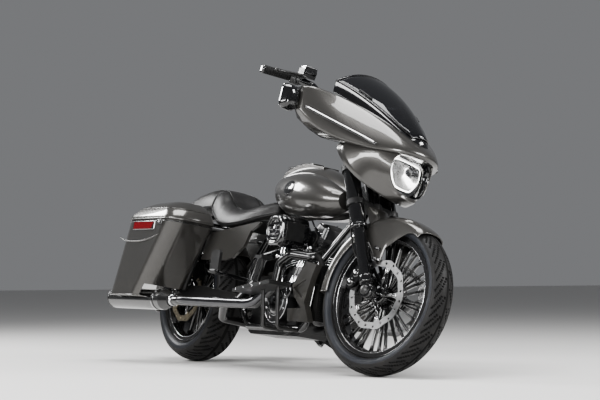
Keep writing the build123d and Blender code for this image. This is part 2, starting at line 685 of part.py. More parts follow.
with BuildPart() as swingarm:
    for side in BOTH_SIDES:
        slab(side_plane(side * ARM_Y), ((PIVOT_X + 34, PIVOT_Z - 26), (PIVOT_X + 34, PIVOT_Z + 26),
             (REAR_AXLE.X + 252, REAR_AXLE.Z + 32), (REAR_AXLE.X - 38, REAR_AXLE.Z + 30),
             (REAR_AXLE.X - 38, REAR_AXLE.Z - 28), (REAR_AXLE.X + 252, REAR_AXLE.Z - 40)), ARM_T / 2, corner=14,
             both=True)
    rod((REAR_AXLE.X, -ARM_Y - 26, REAR_AXLE.Z), (REAR_AXLE.X, ARM_Y + 26, REAR_AXLE.Z), REAR_AXLE_D)

with BuildPart() as shocks:
    for side in BOTH_SIDES:
        y = side * (ARM_Y + ARM_T / 2 + 14)
        foot = Vector(REAR_AXLE.X + 112, y, REAR_AXLE.Z + 17)
        top = Vector(-560, y, 640)
        rod(foot, foot + (top - foot) * 0.73, 32)
        rod(foot + (top - foot) * 0.6, top, 42)
        rod((foot.X, side * (ARM_Y + ARM_T / 2), foot.Z), (foot.X, y + side * 12, foot.Z), 22)
        rod((-566, side * RAIL_Y, 628), (-566, y + side * 12, 628), 22)
    add(swingarm.part, mode=Mode.SUBTRACT)

FRONT_PULLEY = Vector(-112, 0, 300)
FRONT_PULLEY_R = 42
with BuildPart() as drive_belt:
    with BuildSketch(side_plane(BELT_Y)):
        with Locations((REAR_AXLE.X, REAR_AXLE.Z)):
            Circle(PULLEY_R + 0.5 + BELT_T)
        with Locations((FRONT_PULLEY.X, FRONT_PULLEY.Z)):
            Circle(FRONT_PULLEY_R + BELT_T)
        make_hull()
    extrude(amount=BELT_W / 2 - 2, both=True)
    with BuildSketch(side_plane(BELT_Y)):
        with Locations((REAR_AXLE.X, REAR_AXLE.Z)):
            Circle(PULLEY_R + 0.5)
        with Locations((FRONT_PULLEY.X, FRONT_PULLEY.Z)):
            Circle(FRONT_PULLEY_R)
        make_hull()
    extrude(amount=BELT_W / 2, both=True, mode=Mode.SUBTRACT)
    with BuildSketch(side_plane(BELT_Y)):
        with Locations((FRONT_PULLEY.X, FRONT_PULLEY.Z)):
            Circle(FRONT_PULLEY_R + 0.5)
    extrude(amount=BELT_W / 2, both=True)

# Engine.

with BuildPart() as engine_case:
    with BuildSketch(side_plane()):
        with Locations((CRANK_X, CRANK_Z)):
            Circle(138)
        Polygon((-190, 216), (-190, 420), (60, 440), (100, 216), align=None)
    extrude(amount=70, both=True)
    with BuildSketch(side_plane()):
        with Locations((CRANK_X, CRANK_Z)):
            Circle(138)
    extrude(amount=CASE_HALF_W, both=True)
    slab(side_plane(), ((-186, 160), (-160, 148), (255, 148), (285, 170), (285, 218), (-186, 222)), 78, both=True)
    for sign in BOTH_SIDES:
        with BuildSketch(cylinder_plane(sign, 100)):
            Circle(BARREL_R + 6)
        extrude(amount=DECK - 100)

with BuildPart() as cylinders:
    for sign in BOTH_SIDES:
        with BuildSketch(cylinder_plane(sign, DECK)):
            Circle(BARREL_R)
        extrude(amount=FIN_COUNT * FIN_PITCH + 24)
        for fin in range(FIN_COUNT):
            with BuildSketch(cylinder_plane(sign, DECK + 24 + fin * FIN_PITCH)):
                Circle(FIN_R)
            extrude(amount=FIN_T)
    add(engine_case.part, mode=Mode.SUBTRACT)

HEAD_AT = DECK + 24 + FIN_COUNT * FIN_PITCH
with BuildPart() as cylinder_heads:
    for sign in BOTH_SIDES:
        with BuildSketch(cylinder_plane(sign, HEAD_AT)):
            RectangleRounded(116, 146, 24)
        extrude(amount=HEAD_H)
        with BuildSketch(cylinder_plane(sign, HEAD_AT + HEAD_H)):
            RectangleRounded(104, 138, 30)
        with BuildSketch(cylinder_plane(sign, HEAD_AT + HEAD_H + ROCKER_H)):
            RectangleRounded(86, 118, 26)
        loft()

COVER_T = 52
with BuildPart() as cam_cover:
    with BuildSketch(side_plane(-CASE_HALF_W)):
        with Locations((CRANK_X - 8, CRANK_Z + 6)):
            Circle(100)
        with Locations((CRANK_X + 66, CRANK_Z + 60)):
            Circle(44)
        with Locations((CRANK_X - 70, CRANK_Z + 60)):
            Circle(44)
    extrude(amount=COVER_T, taper=12)
    for sign in BOTH_SIDES:
        for spread in (-13, 15):
            foot = Vector(CRANK_X + sign * 46 + spread, -CASE_HALF_W - 16, CRANK_Z + 84)
            head = cylinder_plane(sign, HEAD_AT + 8).origin + Vector(spread, -84, 0)
            rod(foot, head, 17)
    add(cylinder_heads.part, mode=Mode.SUBTRACT)

with BuildPart() as primary_cover:
    with BuildSketch(side_plane(190)):
        with Locations((CRANK_X, CRANK_Z)):
            Circle(104)
        with Locations((-86, CRANK_Z + 6)):
            Circle(95)
        make_hull()
    extrude(amount=54)
    with BuildSketch(side_plane(137)):
        with Locations((CRANK_X, CRANK_Z)):
            Circle(96)
        with Locations((20, CRANK_Z)):
            Circle(70)
        make_hull()
    extrude(amount=137 - CASE_HALF_W)
    add(engine_case.part, mode=Mode.SUBTRACT)
    add(frame.part, mode=Mode.SUBTRACT)

with BuildPart() as air_cleaner:
    with BuildSketch(side_plane(-104)):
        with Locations((196, 612)):
            RectangleRounded(150, 146, 44)
    extrude(amount=140)
    with BuildSketch(side_plane(-50)):
        with Locations((165, 612)):
            Circle(34)
    extrude(amount=54)

with BuildPart() as mufflers:
    for side in BOTH_SIDES:
        with BuildSketch(Plane(origin=(-520, side * MUFFLER_Y, MUFFLER_Z), x_dir=(0, 1, 0), z_dir=(-1, 0, 0))):
            Circle(32)
        with BuildSketch(Plane(origin=(-580, side * MUFFLER_Y, MUFFLER_Z), x_dir=(0, 1, 0), z_dir=(-1, 0, 0))):
            Circle(MUFFLER_R)
        loft()
        with BuildSketch(Plane(origin=(-580, side * MUFFLER_Y, MUFFLER_Z), x_dir=(0, 1, 0), z_dir=(-1, 0, 0))):
            Circle(MUFFLER_R)
        extrude(amount=520)
        with BuildSketch(Plane(origin=(-1100, side * MUFFLER_Y, MUFFLER_Z), x_dir=(0, 1, 0), z_dir=(-1, 0, 0))):
            Circle(MUFFLER_R - 4)
        extrude(amount=24)
        with Locations(Plane(origin=(-1124, side * MUFFLER_Y, MUFFLER_Z), z_dir=(-1, 0, 0))):
            Hole(MUFFLER_R - 12, depth=60)

with BuildPart() as exhaust_headers:
    front_port = cylinder_plane(1, HEAD_AT + 30).from_local_coords(Vector(58, -24, 0))
    rear_port = cylinder_plane(-1, HEAD_AT + 30).from_local_coords(Vector(-58, -24, 0))
    bent_tube([front_port, front_port + Vector(34, -12, -14), (352, -118, 505), (262, -172, 512), (172, -172, 470),
               (160, -176, 352), (70, -205, 275), (-170, -255, 266), (-460, -MUFFLER_Y + 4, MUFFLER_Z),
               (-520, -MUFFLER_Y, MUFFLER_Z)], PIPE_D, 34)
    bent_tube([rear_port, rear_port + Vector(-34, -10, -14), (-80, -120, 505), (-76, -150, 380), (-70, -226, 285)],
              PIPE_D, 34)
    bent_tube([(-150, -252, 267), (-290, -170, 204), (-320, 150, 194), (-400, MUFFLER_Y - 30, 232),
               (-520, MUFFLER_Y, MUFFLER_Z)], PIPE_D - 5, 40)
    add(cylinder_heads.part, mode=Mode.SUBTRACT)
    add(mufflers.part, mode=Mode.SUBTRACT)

RADIATOR_HALF = 118
SHROUD_INNER_Y = 137
with BuildPart() as radiator:
    with Locations((430, 0, 342)):
        Box(34, 2 * RADIATOR_HALF, 250)
    for side in BOTH_SIDES:
        for z in (380, 440):
            rod((427, side * (RADIATOR_HALF - 4), z), (427, side * SHROUD_INNER_Y, z), 12)


# Shroud cheek seen from the side: x, height.
SHROUD_OUTLINE = ((388, 480), (476, 466), (446, 404), (414, 296), (464, 217), (464, 206), (294, 206), (280, 264),
                  (392, 268), (325, 318), (296, 368))
SHROUD_RECESS = ((308, 360), (404, 402), (388, 312))
with BuildPart() as radiator_shroud:
    for side in BOTH_SIDES:
        slab(side_plane(side * (SHROUD_INNER_Y + 15) + 15), SHROUD_OUTLINE, 30)
        with BuildSketch(side_plane(side * (SHROUD_INNER_Y + 30))):
            Polygon(*SHROUD_RECESS, align=None)
        extrude(amount=12, both=True, mode=Mode.SUBTRACT)
    add(frame.part, mode=Mode.SUBTRACT)

# Tank, seats, bodywork.

# Tank sections: x, half-breadth, underside, height of the widest line, top.
TANK_SECTIONS = ((-176, 46, 836, 864, 898), (-100, 92, 762, 846, 934), (60, 140, 714, 832, 956),
                 (230, 152, 704, 824, 940), (370, 128, 708, 798, 886), (452, 84, 738, 788, 832))
with BuildPart() as fuel_tank:
    for x, half, low, wide, top in TANK_SECTIONS:
        with BuildSketch(cross_plane(x)):
            with BuildLine():
                Line((-0.55 * half, low), (0.55 * half, low))
                ThreePointArc((0.55 * half, low), (half, wide), (0.5 * half, top - 0.16 * (top - low)))
                ThreePointArc((0.5 * half, top - 0.16 * (top - low)), (0, top), (-0.5 * half, top - 0.16 * (top - low)))
                ThreePointArc((-0.5 * half, top - 0.16 * (top - low)), (-half, wide), (-0.55 * half, low))
            make_face()
    loft()
    with Locations((150, 0, 700)):
        Box(800, 64, 210, mode=Mode.SUBTRACT)
    slab(side_plane(), ((-150, 890), (-100, 936), (-10, 960), (112, 960), (220, 944), (220, 900)), 42, both=True)
    add(frame.part, mode=Mode.SUBTRACT)

with BuildPart() as fuel_door:
    with BuildSketch(Plane.XY.offset(DOOR_Z)):
        with Locations((52, 0)):
            RectangleRounded(112, 72, 18)
    extrude(amount=DOOR_T)

SEAT_SECTIONS = ((-92, 62, 722, 792), (-190, 118, 690, 782), (-320, 164, 656, 744), (-450, 172, 652, 754),
                 (-552, 158, 700, 850), (-600, 146, 738, 864))
PILLION_SECTIONS = ((-603, 142, 740, 864), (-720, 144, 738, 860), (-850, 130, 738, 834), (-956, 94, 742, 786))


def cushion(sections):
    """Seat block lofted from sections: x, half-breadth, underside, top."""
    made = []
    for x, half, low, top in sections:
        with BuildSketch(cross_plane(x, SEAT_LIFT)) as section:
            with BuildLine():
                Line((-half * 0.9, low), (half * 0.9, low))
                Line((half * 0.9, low), (half, low + 0.3 * (top - low)))
                ThreePointArc((half, low + 0.3 * (top - low)), (0, top), (-half, low + 0.3 * (top - low)))
                Line((-half, low + 0.3 * (top - low)), (-half * 0.9, low))
            make_face()
        made.append(section.sketch)
    loft(made)


with BuildPart() as seat_rider:
    cushion(SEAT_SECTIONS)
    add(frame.part, mode=Mode.SUBTRACT)
    add(fuel_tank.part, mode=Mode.SUBTRACT)

with BuildPart() as seat_pillion:
    cushion(PILLION_SECTIONS)
    add(frame.part, mode=Mode.SUBTRACT)

with BuildPart() as rear_fender:
    arc_channel(REAR_AXLE, REAR_TYRE_R + 16, 100, 92, 38, 196)

SIDE_COVER_OUTLINE = ((-547, 484), (-469, 618), (0, 668), (-100, 622), (-146, 547), (-244, 491), (-309, 479))
with BuildPart() as side_covers:
    for side in BOTH_SIDES:
        slab(side_plane(side * 186), SIDE_COVER_OUTLINE, 8, corner=6, both=True)


def bag_plan(z, rear, front, outer, inner, inset):
    """Sketches a level outline of the right bag: large round outer corners, small inner ones, drawn in by the wall."""
    with BuildSketch(Plane.XY.offset(z)) as section:
        with Locations(((rear + front) / 2, (outer + inner) / 2)):
            Rectangle(front - rear - 2 * inset, inner - outer - 2 * inset)
        fillet(section.vertices().sort_by(Axis.Y)[:2], BAG_OUTER_R - inset)
        fillet(section.vertices().sort_by(Axis.Y)[-2:], BAG_INNER_R - inset)
    return section.sketch


def bag_block(inset, low, high):
    """Adds a slab of the right saddlebag's tapering block between two heights, drawn in by the wall."""
    sections = []
    for z in (low, high):
        t = (z - BAG_BOTTOM_Z) / (BAG_TOP_Z - BAG_BOTTOM_Z)
        rear = -1052 + 137 * t
        front = -700 + 268 * t
        outer = -(BAG_OUT_BOTTOM + (BAG_OUT_TOP - BAG_OUT_BOTTOM) * t)
        sections.append(bag_plan(z, rear, front, outer, -BAG_IN, inset))
    loft(sections)


with BuildPart() as saddlebag_right:
    bag_block(0, BAG_BOTTOM_Z, BAG_TOP_Z)
    with BuildPart(mode=Mode.PRIVATE) as cavity:
        bag_block(BAG_WALL, BAG_FLOOR_Z, BAG_TOP_Z + 1)
    add(cavity.part, mode=Mode.SUBTRACT)
    with Locations((-850, -BAG_IN - 90, BAG_BOTTOM_Z)):
        Box(500, 230, 2 * (BAG_FLOOR_Z - BAG_WALL - BAG_BOTTOM_Z), mode=Mode.SUBTRACT)

with BuildPart() as saddlebag_left:
    mirror(saddlebag_right.part, about=Plane.XZ)


# Right lid, level by level: height above its lower edge, then rear, front, outer and inner limits.
LID_LEVELS = ((0, -920, -428, -449, -201), (22, -908, -432, -447, -203), (58, -842, -452, -430, -212),
              (84, -768, -484, -402, -226), (99, -700, -506, -366, -240))


def lid_block(inset):
    """Adds the lid's domed block, drawn in by the wall."""
    sections = []
    for rise, rear, front, outer, inner in LID_LEVELS:
        sink = inset if rise else -1
        sections.append(bag_plan(BAG_TOP_Z + LID_GAP + rise - sink, rear, front, outer, inner, inset))
    loft(sections, ruled=True)


with BuildPart() as lid_right:
    lid_block(0)
    with BuildPart(mode=Mode.PRIVATE) as dome:
        lid_block(BAG_WALL)
    add(dome.part, mode=Mode.SUBTRACT)

with BuildPart() as lid_left:
    mirror(lid_right.part, about=Plane.XZ)

with BuildPart() as tail_lamps:
    for side in BOTH_SIDES:
        slab(side_plane(side * 446.5), ((-807, 594), (-807, 628), (-600, 628), (-622, 594)), 5, corner=6, both=True)
    add(saddlebag_right.part, mode=Mode.SUBTRACT)
    add(saddlebag_left.part, mode=Mode.SUBTRACT)
    with BuildSketch(Plane(origin=REAR_AXLE, x_dir=(0, 1, 0), z_dir=(-cos(radians(32)), 0, sin(radians(32))))
                     .offset(REAR_TYRE_R + 14)):
        RectangleRounded(120, 62, 14)
    extrude(amount=34)
    add(rear_fender.part, mode=Mode.SUBTRACT)
    add(rear_tyre.part, mode=Mode.SUBTRACT)

with BuildPart() as floorboards:
    for side in BOTH_SIDES:
        slab(side_plane(side * 282), ((57, 311), (57, 325), (373, 366), (373, 352)), 56, both=True)
        for x, z in ((205, 334), (330, 350)):
            bent_tube([(x, side * (CRADLE_Y + 10), 168), (x, side * 236, 168), (x, side * 262, z + 2)], 18, 20)
    add(frame.part, mode=Mode.SUBTRACT)

with BuildPart() as pedals:
    for side in BOTH_SIDES:
        bent_tube([(150, side * 226, 345), (150, side * 262, 372), (200, side * 280, 430), (214, side * 290, 470)], 14, 16)
        with Locations((222, side * 292, 476)):
            Box(56, 62, 14)

with BuildPart() as rear_caliper:
    with BuildSketch(wheel_plane(REAR_AXLE, -REAR_DISC_Y)):
        Polygon((60, 96), (120, 60), (168, 96), (110, 158), align=None)
    extrude(amount=26, both=True)
    with BuildSketch(wheel_plane(REAR_AXLE, -REAR_DISC_Y)):
        Circle(REAR_DISC_R + 6)
    extrude(amount=DISC_T / 2 + 3, both=True, mode=Mode.SUBTRACT)
    add(swingarm.part, mode=Mode.SUBTRACT)

def passenger_board(side):
    """Folded-up passenger footboard on one side, with a knuckle round its hinge pin."""
    with BuildPart() as made:
        slab(side_plane(side * (BOARD_HINGE.Y + 2)),
             ((-243, 418), (-243, 500), (-231, 512), (-176, 512), (-164, 500), (-164, 418)), 7, both=True)
        rod((-233, side * BOARD_HINGE.Y, BOARD_HINGE.Z), (-183, side * BOARD_HINGE.Y, BOARD_HINGE.Z), 24)
        with Locations(Plane(origin=(-208, side * BOARD_HINGE.Y, BOARD_HINGE.Z), z_dir=(1, 0, 0))):
            Cylinder(BOARD_PIN_D / 2 + RUNNING_FIT, 200, mode=Mode.SUBTRACT)
    return made


passenger_board_right = passenger_board(-1)
passenger_board_left = passenger_board(1)

with BuildPart() as side_stand:
    rod(STAND_PIVOT - STAND_AXIS * 13, STAND_PIVOT + STAND_AXIS * 13, 36)
    rod(STAND_PIVOT + STAND_LEG * 10, STAND_FOOT_AT + FLOOR.z_dir * 12, 22)
    with BuildSketch(Plane(origin=STAND_FOOT_AT, z_dir=FLOOR.z_dir)):
        Circle(STAND_FOOT_R)
    extrude(amount=12)
    with Locations(Plane(origin=STAND_PIVOT, z_dir=STAND_AXIS)):
        Cylinder(STAND_PIN_D / 2 + RUNNING_FIT, 80, mode=Mode.SUBTRACT)


PIECES = {
    "front_wheel": {"front_tyre": front_tyre, "front_rim": front_rim, "front_discs": front_discs},
    "rear_wheel": {"rear_tyre": rear_tyre, "rear_rim": rear_rim, "rear_disc_and_pulley": rear_disc_and_pulley},
    "steering": {"front_axle": front_axle, "fork_legs": fork_legs, "triple_trees": triple_trees,
                 "front_fender": front_fender, "front_calipers": front_calipers, "fairing_outer": fairing_outer,
                 "fairing_inner": fairing_inner, "headlamp": headlamp, "windscreen": windscreen,
                 "fairing_lights": fairing_lights, "handlebar": handlebar, "grips": grips,
                 "hand_controls": hand_controls, "mirrors": mirrors},
    "chassis": {"frame": frame, "swingarm": swingarm, "shocks": shocks, "drive_belt": drive_belt,
                "engine_case": engine_case, "cylinders": cylinders, "cylinder_heads": cylinder_heads,
                "cam_cover": cam_cover, "primary_cover": primary_cover, "air_cleaner": air_cleaner,
                "exhaust_headers": exhaust_headers, "mufflers": mufflers, "radiator": radiator,
                "radiator_shroud": radiator_shroud, "fuel_tank": fuel_tank, "seat_rider": seat_rider,
                "seat_pillion": seat_pillion, "rear_fender": rear_fender, "side_covers": side_covers,
                "saddlebag_right": saddlebag_right, "saddlebag_left": saddlebag_left, "tail_lamps": tail_lamps,
                "floorboards": floorboards, "pedals": pedals, "rear_caliper": rear_caliper},
    "side_stand": {"side_stand": side_stand},
    "fuel_door": {"fuel_door": fuel_door},
    "lid_right": {"lid_right": lid_right},
    "lid_left": {"lid_left": lid_left},
    "passenger_board_right": {"passenger_board_right": passenger_board_right},
    "passenger_board_left": {"passenger_board_left": passenger_board_left},
}
os.makedirs("parts", exist_ok=True)
for body, pieces in PIECES.items():
    rest = PARKED * STEERED if body in ("steering", "front_wheel") else PARKED
    for name, piece in pieces.items():
        placed = piece.part.moved(rest)
        placed.label = name
        export_step(placed, f"parts/{name}.step")
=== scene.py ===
"""Touring cruiser motorcycle: finishes, glass, leather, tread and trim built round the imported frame."""

import json
import math

import bmesh
import bpy
from mathutils import Matrix, Vector


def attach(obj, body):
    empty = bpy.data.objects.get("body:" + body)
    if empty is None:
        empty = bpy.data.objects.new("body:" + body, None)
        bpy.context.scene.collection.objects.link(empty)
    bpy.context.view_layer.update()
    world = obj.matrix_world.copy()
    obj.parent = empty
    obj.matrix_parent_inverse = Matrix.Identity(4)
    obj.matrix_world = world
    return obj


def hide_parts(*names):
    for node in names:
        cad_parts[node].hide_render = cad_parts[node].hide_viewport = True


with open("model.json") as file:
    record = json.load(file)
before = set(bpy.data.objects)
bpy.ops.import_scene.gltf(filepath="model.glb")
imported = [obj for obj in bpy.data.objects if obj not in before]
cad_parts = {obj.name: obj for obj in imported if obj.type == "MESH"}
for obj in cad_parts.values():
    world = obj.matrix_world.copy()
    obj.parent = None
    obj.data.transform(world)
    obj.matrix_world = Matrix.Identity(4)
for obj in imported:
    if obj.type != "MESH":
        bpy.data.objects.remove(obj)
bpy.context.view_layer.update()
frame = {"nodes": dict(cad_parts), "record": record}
nodes = frame["nodes"]

# Where the machine stands: every length below is in millimetres on the upright machine with straight
# steering, X forward, Y to the rider's left, Z up, the origin on the ground midway between the axles.

MM = 0.001
WHEELBASE = 1625
TRAIL = 170
RAKE = math.radians(26)
LEAN = math.radians(9.62)
STEER_REST = math.radians(13.54)
PITCH = math.radians(0.2189)
SHIFT = Vector((3, -136, -1.32))
STEER_UP = Vector((-math.sin(RAKE), 0, math.cos(RAKE)))
STEER_AHEAD = Vector((math.cos(RAKE), 0, math.sin(RAKE)))
STEER_FOOT = Vector((WHEELBASE / 2 + TRAIL, 0, 0))
FRONT_AXLE = Vector((WHEELBASE / 2, 0, 345))
REAR_AXLE = Vector((-WHEELBASE / 2, 0, 328))
SIDES = (-1, 1)
WORD = {-1: "right", 1: "left"}

STANCE = Matrix.Translation(SHIFT * MM) @ Matrix.Rotation(PITCH, 4, "Y")
PARKED = STANCE @ Matrix.Rotation(-LEAN, 4, "X")
TURN = Matrix.Rotation(STEER_REST, 4, STEER_UP)
STEERED = PARKED @ Matrix.Translation(STEER_FOOT * MM) @ TURN @ Matrix.Translation(-STEER_FOOT * MM)
PLACES = {"steering": STEERED, "front_wheel": STEERED}


# Shared shader effects.


def shader_group(name, inputs, outputs):
    """Empty node group with named inputs and outputs: (name, kind, default) and (name, kind)."""
    group = bpy.data.node_groups.new(name, "ShaderNodeTree")
    for label, kind, default in inputs:
        socket = group.interface.new_socket(label, in_out="INPUT", socket_type=f"NodeSocket{kind}")
        if default is not None:
            socket.default_value = default
    for label, kind in outputs:
        group.interface.new_socket(label, in_out="OUTPUT", socket_type=f"NodeSocket{kind}")
    return group, group.nodes.new("NodeGroupInput").outputs, group.nodes.new("NodeGroupOutput").inputs


def feed(tree, socket, value):
    """Links another socket to this one, or sets a constant on it."""
    if isinstance(value, bpy.types.NodeSocket):
        tree.links.new(value, socket)
    else:
        socket.default_value = value


def node(tree, kind, values=(), **settings):
    """New shader node with its settings, and its inputs set or linked by name or index."""
    made = tree.nodes.new(f"ShaderNode{kind}")
    for key, value in settings.items():
        setattr(made, key, value)
    for key, value in dict(values).items():
        feed(tree, made.inputs[key], value)
    return made


def ramp(tree, factor, *stops):
    """Colour ramp over a factor: (position, grey) stops."""
    made = node(tree, "ValToRGB", {"Fac": factor})
    elements = made.color_ramp.elements
    while len(elements) < len(stops):
        elements.new(0.5)
    for element, (place, grey) in zip(elements, stops):
        element.position = place
        element.color = (grey, grey, grey, 1)
    return made.outputs["Color"]


def blend_colour(tree, factor, first, second, mode="MIX"):
    """Mixes two colours by a factor."""
    made = node(tree, "Mix", data_type="RGBA", blend_type=mode)
    for index, value in ((0, factor), (6, first), (7, second)):
        feed(tree, made.inputs[index], value)
    return made.outputs[2]


def build_smudges():
    """Faint wiping marks: takes a roughness and how far it wanders, gives a roughness and a slow ripple."""
    group, given, out = shader_group(
        "smudges",
        (("Roughness", "Float", 0.3), ("Spread", "Float", 0.1), ("Scale", "Float", 6.0)),
        (("Roughness", "Float"), ("Normal", "Vector")),
    )
    where = node(group, "TexCoord").outputs["Object"]
    cloud = node(group, "TexNoise", {"Vector": where, "Scale": given["Scale"], "Detail": 5.0, "Roughness": 0.62})
    fine = node(group, "TexNoise", {"Vector": where, "Scale": 240.0, "Detail": 2.0})
    centred = node(group, "Math", {0: cloud.outputs["Fac"], 1: 0.5}, operation="SUBTRACT")
    wander = node(group, "Math", {0: centred.outputs[0], 1: given["Spread"]}, operation="MULTIPLY")
    total = node(group, "Math", {0: given["Roughness"], 1: wander.outputs[0]}, operation="ADD", use_clamp=True)
    peel = node(group, "Bump", {"Height": fine.outputs["Fac"], "Strength": 0.025, "Distance": 0.0005})
    group.links.new(total.outputs[0], out["Roughness"])
    group.links.new(peel.outputs["Normal"], out["Normal"])
    return group


def build_rubbed_edges():
    """Edges rubbed lighter: takes a colour and an edge colour, gives the colour and the rubbed mask."""
    group, given, out = shader_group(
        "rubbed_edges",
        (("Colour", "Color", (0.03, 0.03, 0.03, 1)), ("Edge", "Color", (0.3, 0.3, 0.3, 1)),
         ("Amount", "Float", 0.5)),
        (("Colour", "Color"), ("Mask", "Float")),
    )
    where = node(group, "TexCoord").outputs["Object"]
    point = node(group, "NewGeometry").outputs["Pointiness"]
    patch = node(group, "TexNoise", {"Vector": where, "Scale": 35.0, "Detail": 6.0})
    edge = ramp(group, point, (0.5, 0.0), (0.56, 1.0))
    broken = ramp(group, patch.outputs["Fac"], (0.42, 0.0), (0.62, 1.0))
    both = node(group, "Math", {0: edge, 1: broken}, operation="MULTIPLY")
    mask = node(group, "Math", {0: both.outputs[0], 1: given["Amount"]}, operation="MULTIPLY", use_clamp=True)
    group.links.new(blend_colour(group, mask.outputs[0], given["Colour"], given["Edge"]), out["Colour"])
    group.links.new(mask.outputs[0], out["Mask"])
    return group


def build_road_film():
    """Road dust, thicker towards the floor: takes a colour and a dust colour, gives the dusted colour."""
    group, given, out = shader_group(
        "road_film",
        (("Colour", "Color", (0.03, 0.03, 0.03, 1)), ("Dust", "Color", (0.2, 0.18, 0.15, 1)),
         ("Amount", "Float", 0.4), ("Height", "Float", 0.5)),
        (("Colour", "Color"), ("Mask", "Float")),
    )
    where = node(group, "TexCoord").outputs["Object"]
    height = node(group, "SeparateXYZ", {"Vector": where}).outputs["Z"]
    low = node(group, "MapRange", {"Value": height, "From Min": 0.0, "From Max": given["Height"],
                                   "To Min": 1.0, "To Max": 0.0})
    patch = node(group, "TexNoise", {"Vector": where, "Scale": 22.0, "Detail": 7.0, "Roughness": 0.68})
    broken = ramp(group, patch.outputs["Fac"], (0.36, 0.0), (0.7, 1.0))
    both = node(group, "Math", {0: low.outputs[0], 1: broken}, operation="MULTIPLY")
    mask = node(group, "Math", {0: both.outputs[0], 1: given["Amount"]}, operation="MULTIPLY", use_clamp=True)
    group.links.new(blend_colour(group, mask.outputs[0], given["Colour"], given["Dust"]), out["Colour"])
    group.links.new(mask.outputs[0], out["Mask"])
    return group


def build_hide_grain():
    """Leather grain: pebbles with pores between them, gives a normal and a slight change of tone."""
    group, given, out = shader_group(
        "hide_grain",
        (("Scale", "Float", 520.0), ("Depth", "Float", 0.35), ("Normal", "Vector", None)),
        (("Normal", "Vector"), ("Tone", "Float")),
    )
    where = node(group, "TexCoord").outputs["Object"]
    warp = node(group, "TexNoise", {"Vector": where, "Scale": 90.0, "Detail": 3.0})
    nudge = node(group, "VectorMath", {0: warp.outputs["Color"], "Scale": 0.004}, operation="SCALE")
    place = node(group, "VectorMath", {0: where, 1: nudge.outputs[0]}, operation="ADD")
    pebble = node(group, "TexVoronoi", {"Vector": place.outputs[0], "Scale": given["Scale"]},
                  feature="DISTANCE_TO_EDGE")
    soft = ramp(group, pebble.outputs["Distance"], (0.0, 0.0), (0.22, 1.0))
    crease = node(group, "TexNoise", {"Vector": where, "Scale": 26.0, "Detail": 6.0, "Roughness": 0.7})
    height = node(group, "Math", {0: soft, 1: crease.outputs["Fac"]}, operation="ADD")
    bump = node(group, "Bump", {"Height": height.outputs[0], "Strength": given["Depth"], "Distance": 0.0008,
                                "Normal": given["Normal"]})
    group.links.new(bump.outputs["Normal"], out["Normal"])
    group.links.new(crease.outputs["Fac"], out["Tone"])
    return group


SMUDGES = build_smudges()
RUBBED = build_rubbed_edges()
ROAD_FILM = build_road_film()
HIDE_GRAIN = build_hide_grain()


def group_node(tree, group, values):
    """Places a shared effect in a material."""
    made = tree.nodes.new("ShaderNodeGroup")
    made.node_tree = group
    for key, value in values.items():
        feed(tree, made.inputs[key], value)
    return made.outputs


def wire(tree, shader, tone, roughness, normal):
    """Feeds a shader its colour, roughness and normal."""
    for label, value in (("Base Color", tone), ("Roughness", roughness), ("Normal", normal)):
        feed(tree, shader.inputs[label], value)


def finish(name, **plain):
    """New material with plain values set on the shader's own sockets. Gives (material, tree, shader)."""
    made = bpy.data.materials.new(name)
    made.use_nodes = True
    tree = made.node_tree
    shader = tree.nodes["Principled BSDF"]
    for key, value in plain.items():
        shader.inputs[key.replace("_", " ")].default_value = value
    return made, tree, shader


def coated(name, colour, metal, rough, spread, coat, edge, wear, dust):
    """Painted or coated hard surface with wiping marks, rubbed edges and road film."""
    made, tree, shader = finish(name, Metallic=metal, Coat_Weight=coat, Coat_Roughness=0.05, IOR=1.5)
    marks = group_node(tree, SMUDGES, {"Roughness": rough, "Spread": spread, "Scale": 7.0})
    rubbed = {"Colour": (*colour, 1), "Edge": (edge, edge, edge, 1), "Amount": wear}
    tone = group_node(tree, RUBBED, rubbed)["Colour"]
    if dust:
        tone = group_node(tree, ROAD_FILM, {"Colour": tone, "Amount": dust})["Colour"]
    wire(tree, shader, tone, marks["Roughness"], marks["Normal"])
    return made


def metallic_paint():
    """Warm grey paint with fine flake under clear lacquer."""
    made, tree, shader = finish("warm_grey_paint", Metallic=0.55, Coat_Weight=1.0, Coat_Roughness=0.03, IOR=1.5)
    where = node(tree, "TexCoord").outputs["Object"]
    flake = node(tree, "TexVoronoi", {"Vector": where, "Scale": 1400.0})
    sparkle = ramp(tree, flake.outputs["Distance"], (0.0, 0.42), (0.55, 0.0))
    tone = blend_colour(tree, sparkle, (0.052, 0.05, 0.047, 1), (0.105, 0.1, 0.093, 1))
    film = group_node(tree, ROAD_FILM, {"Colour": tone, "Amount": 0.25, "Height": 0.6})
    marks = group_node(tree, SMUDGES, {"Roughness": 0.3, "Spread": 0.1, "Scale": 5.0})
    wire(tree, shader, film["Colour"], marks["Roughness"], marks["Normal"])
    return made


def brushed_disc(name, colour):
    """Ground steel, anisotropic, with a fine noise in its tone."""
    made, tree, shader = finish(name, Metallic=1.0, IOR=2.2, Anisotropic=0.5)
    where = node(tree, "TexCoord").outputs["Object"]
    line = node(tree, "TexNoise", {"Vector": where, "Scale": 160.0, "Detail": 4.0})
    tone = blend_colour(tree, line.outputs["Fac"], (*[0.88 * c for c in colour], 1), (*colour, 1))
    marks = group_node(tree, SMUDGES, {"Roughness": 0.3, "Spread": 0.06, "Scale": 20.0})
    wire(tree, shader, tone, marks["Roughness"], marks["Normal"])
    return made


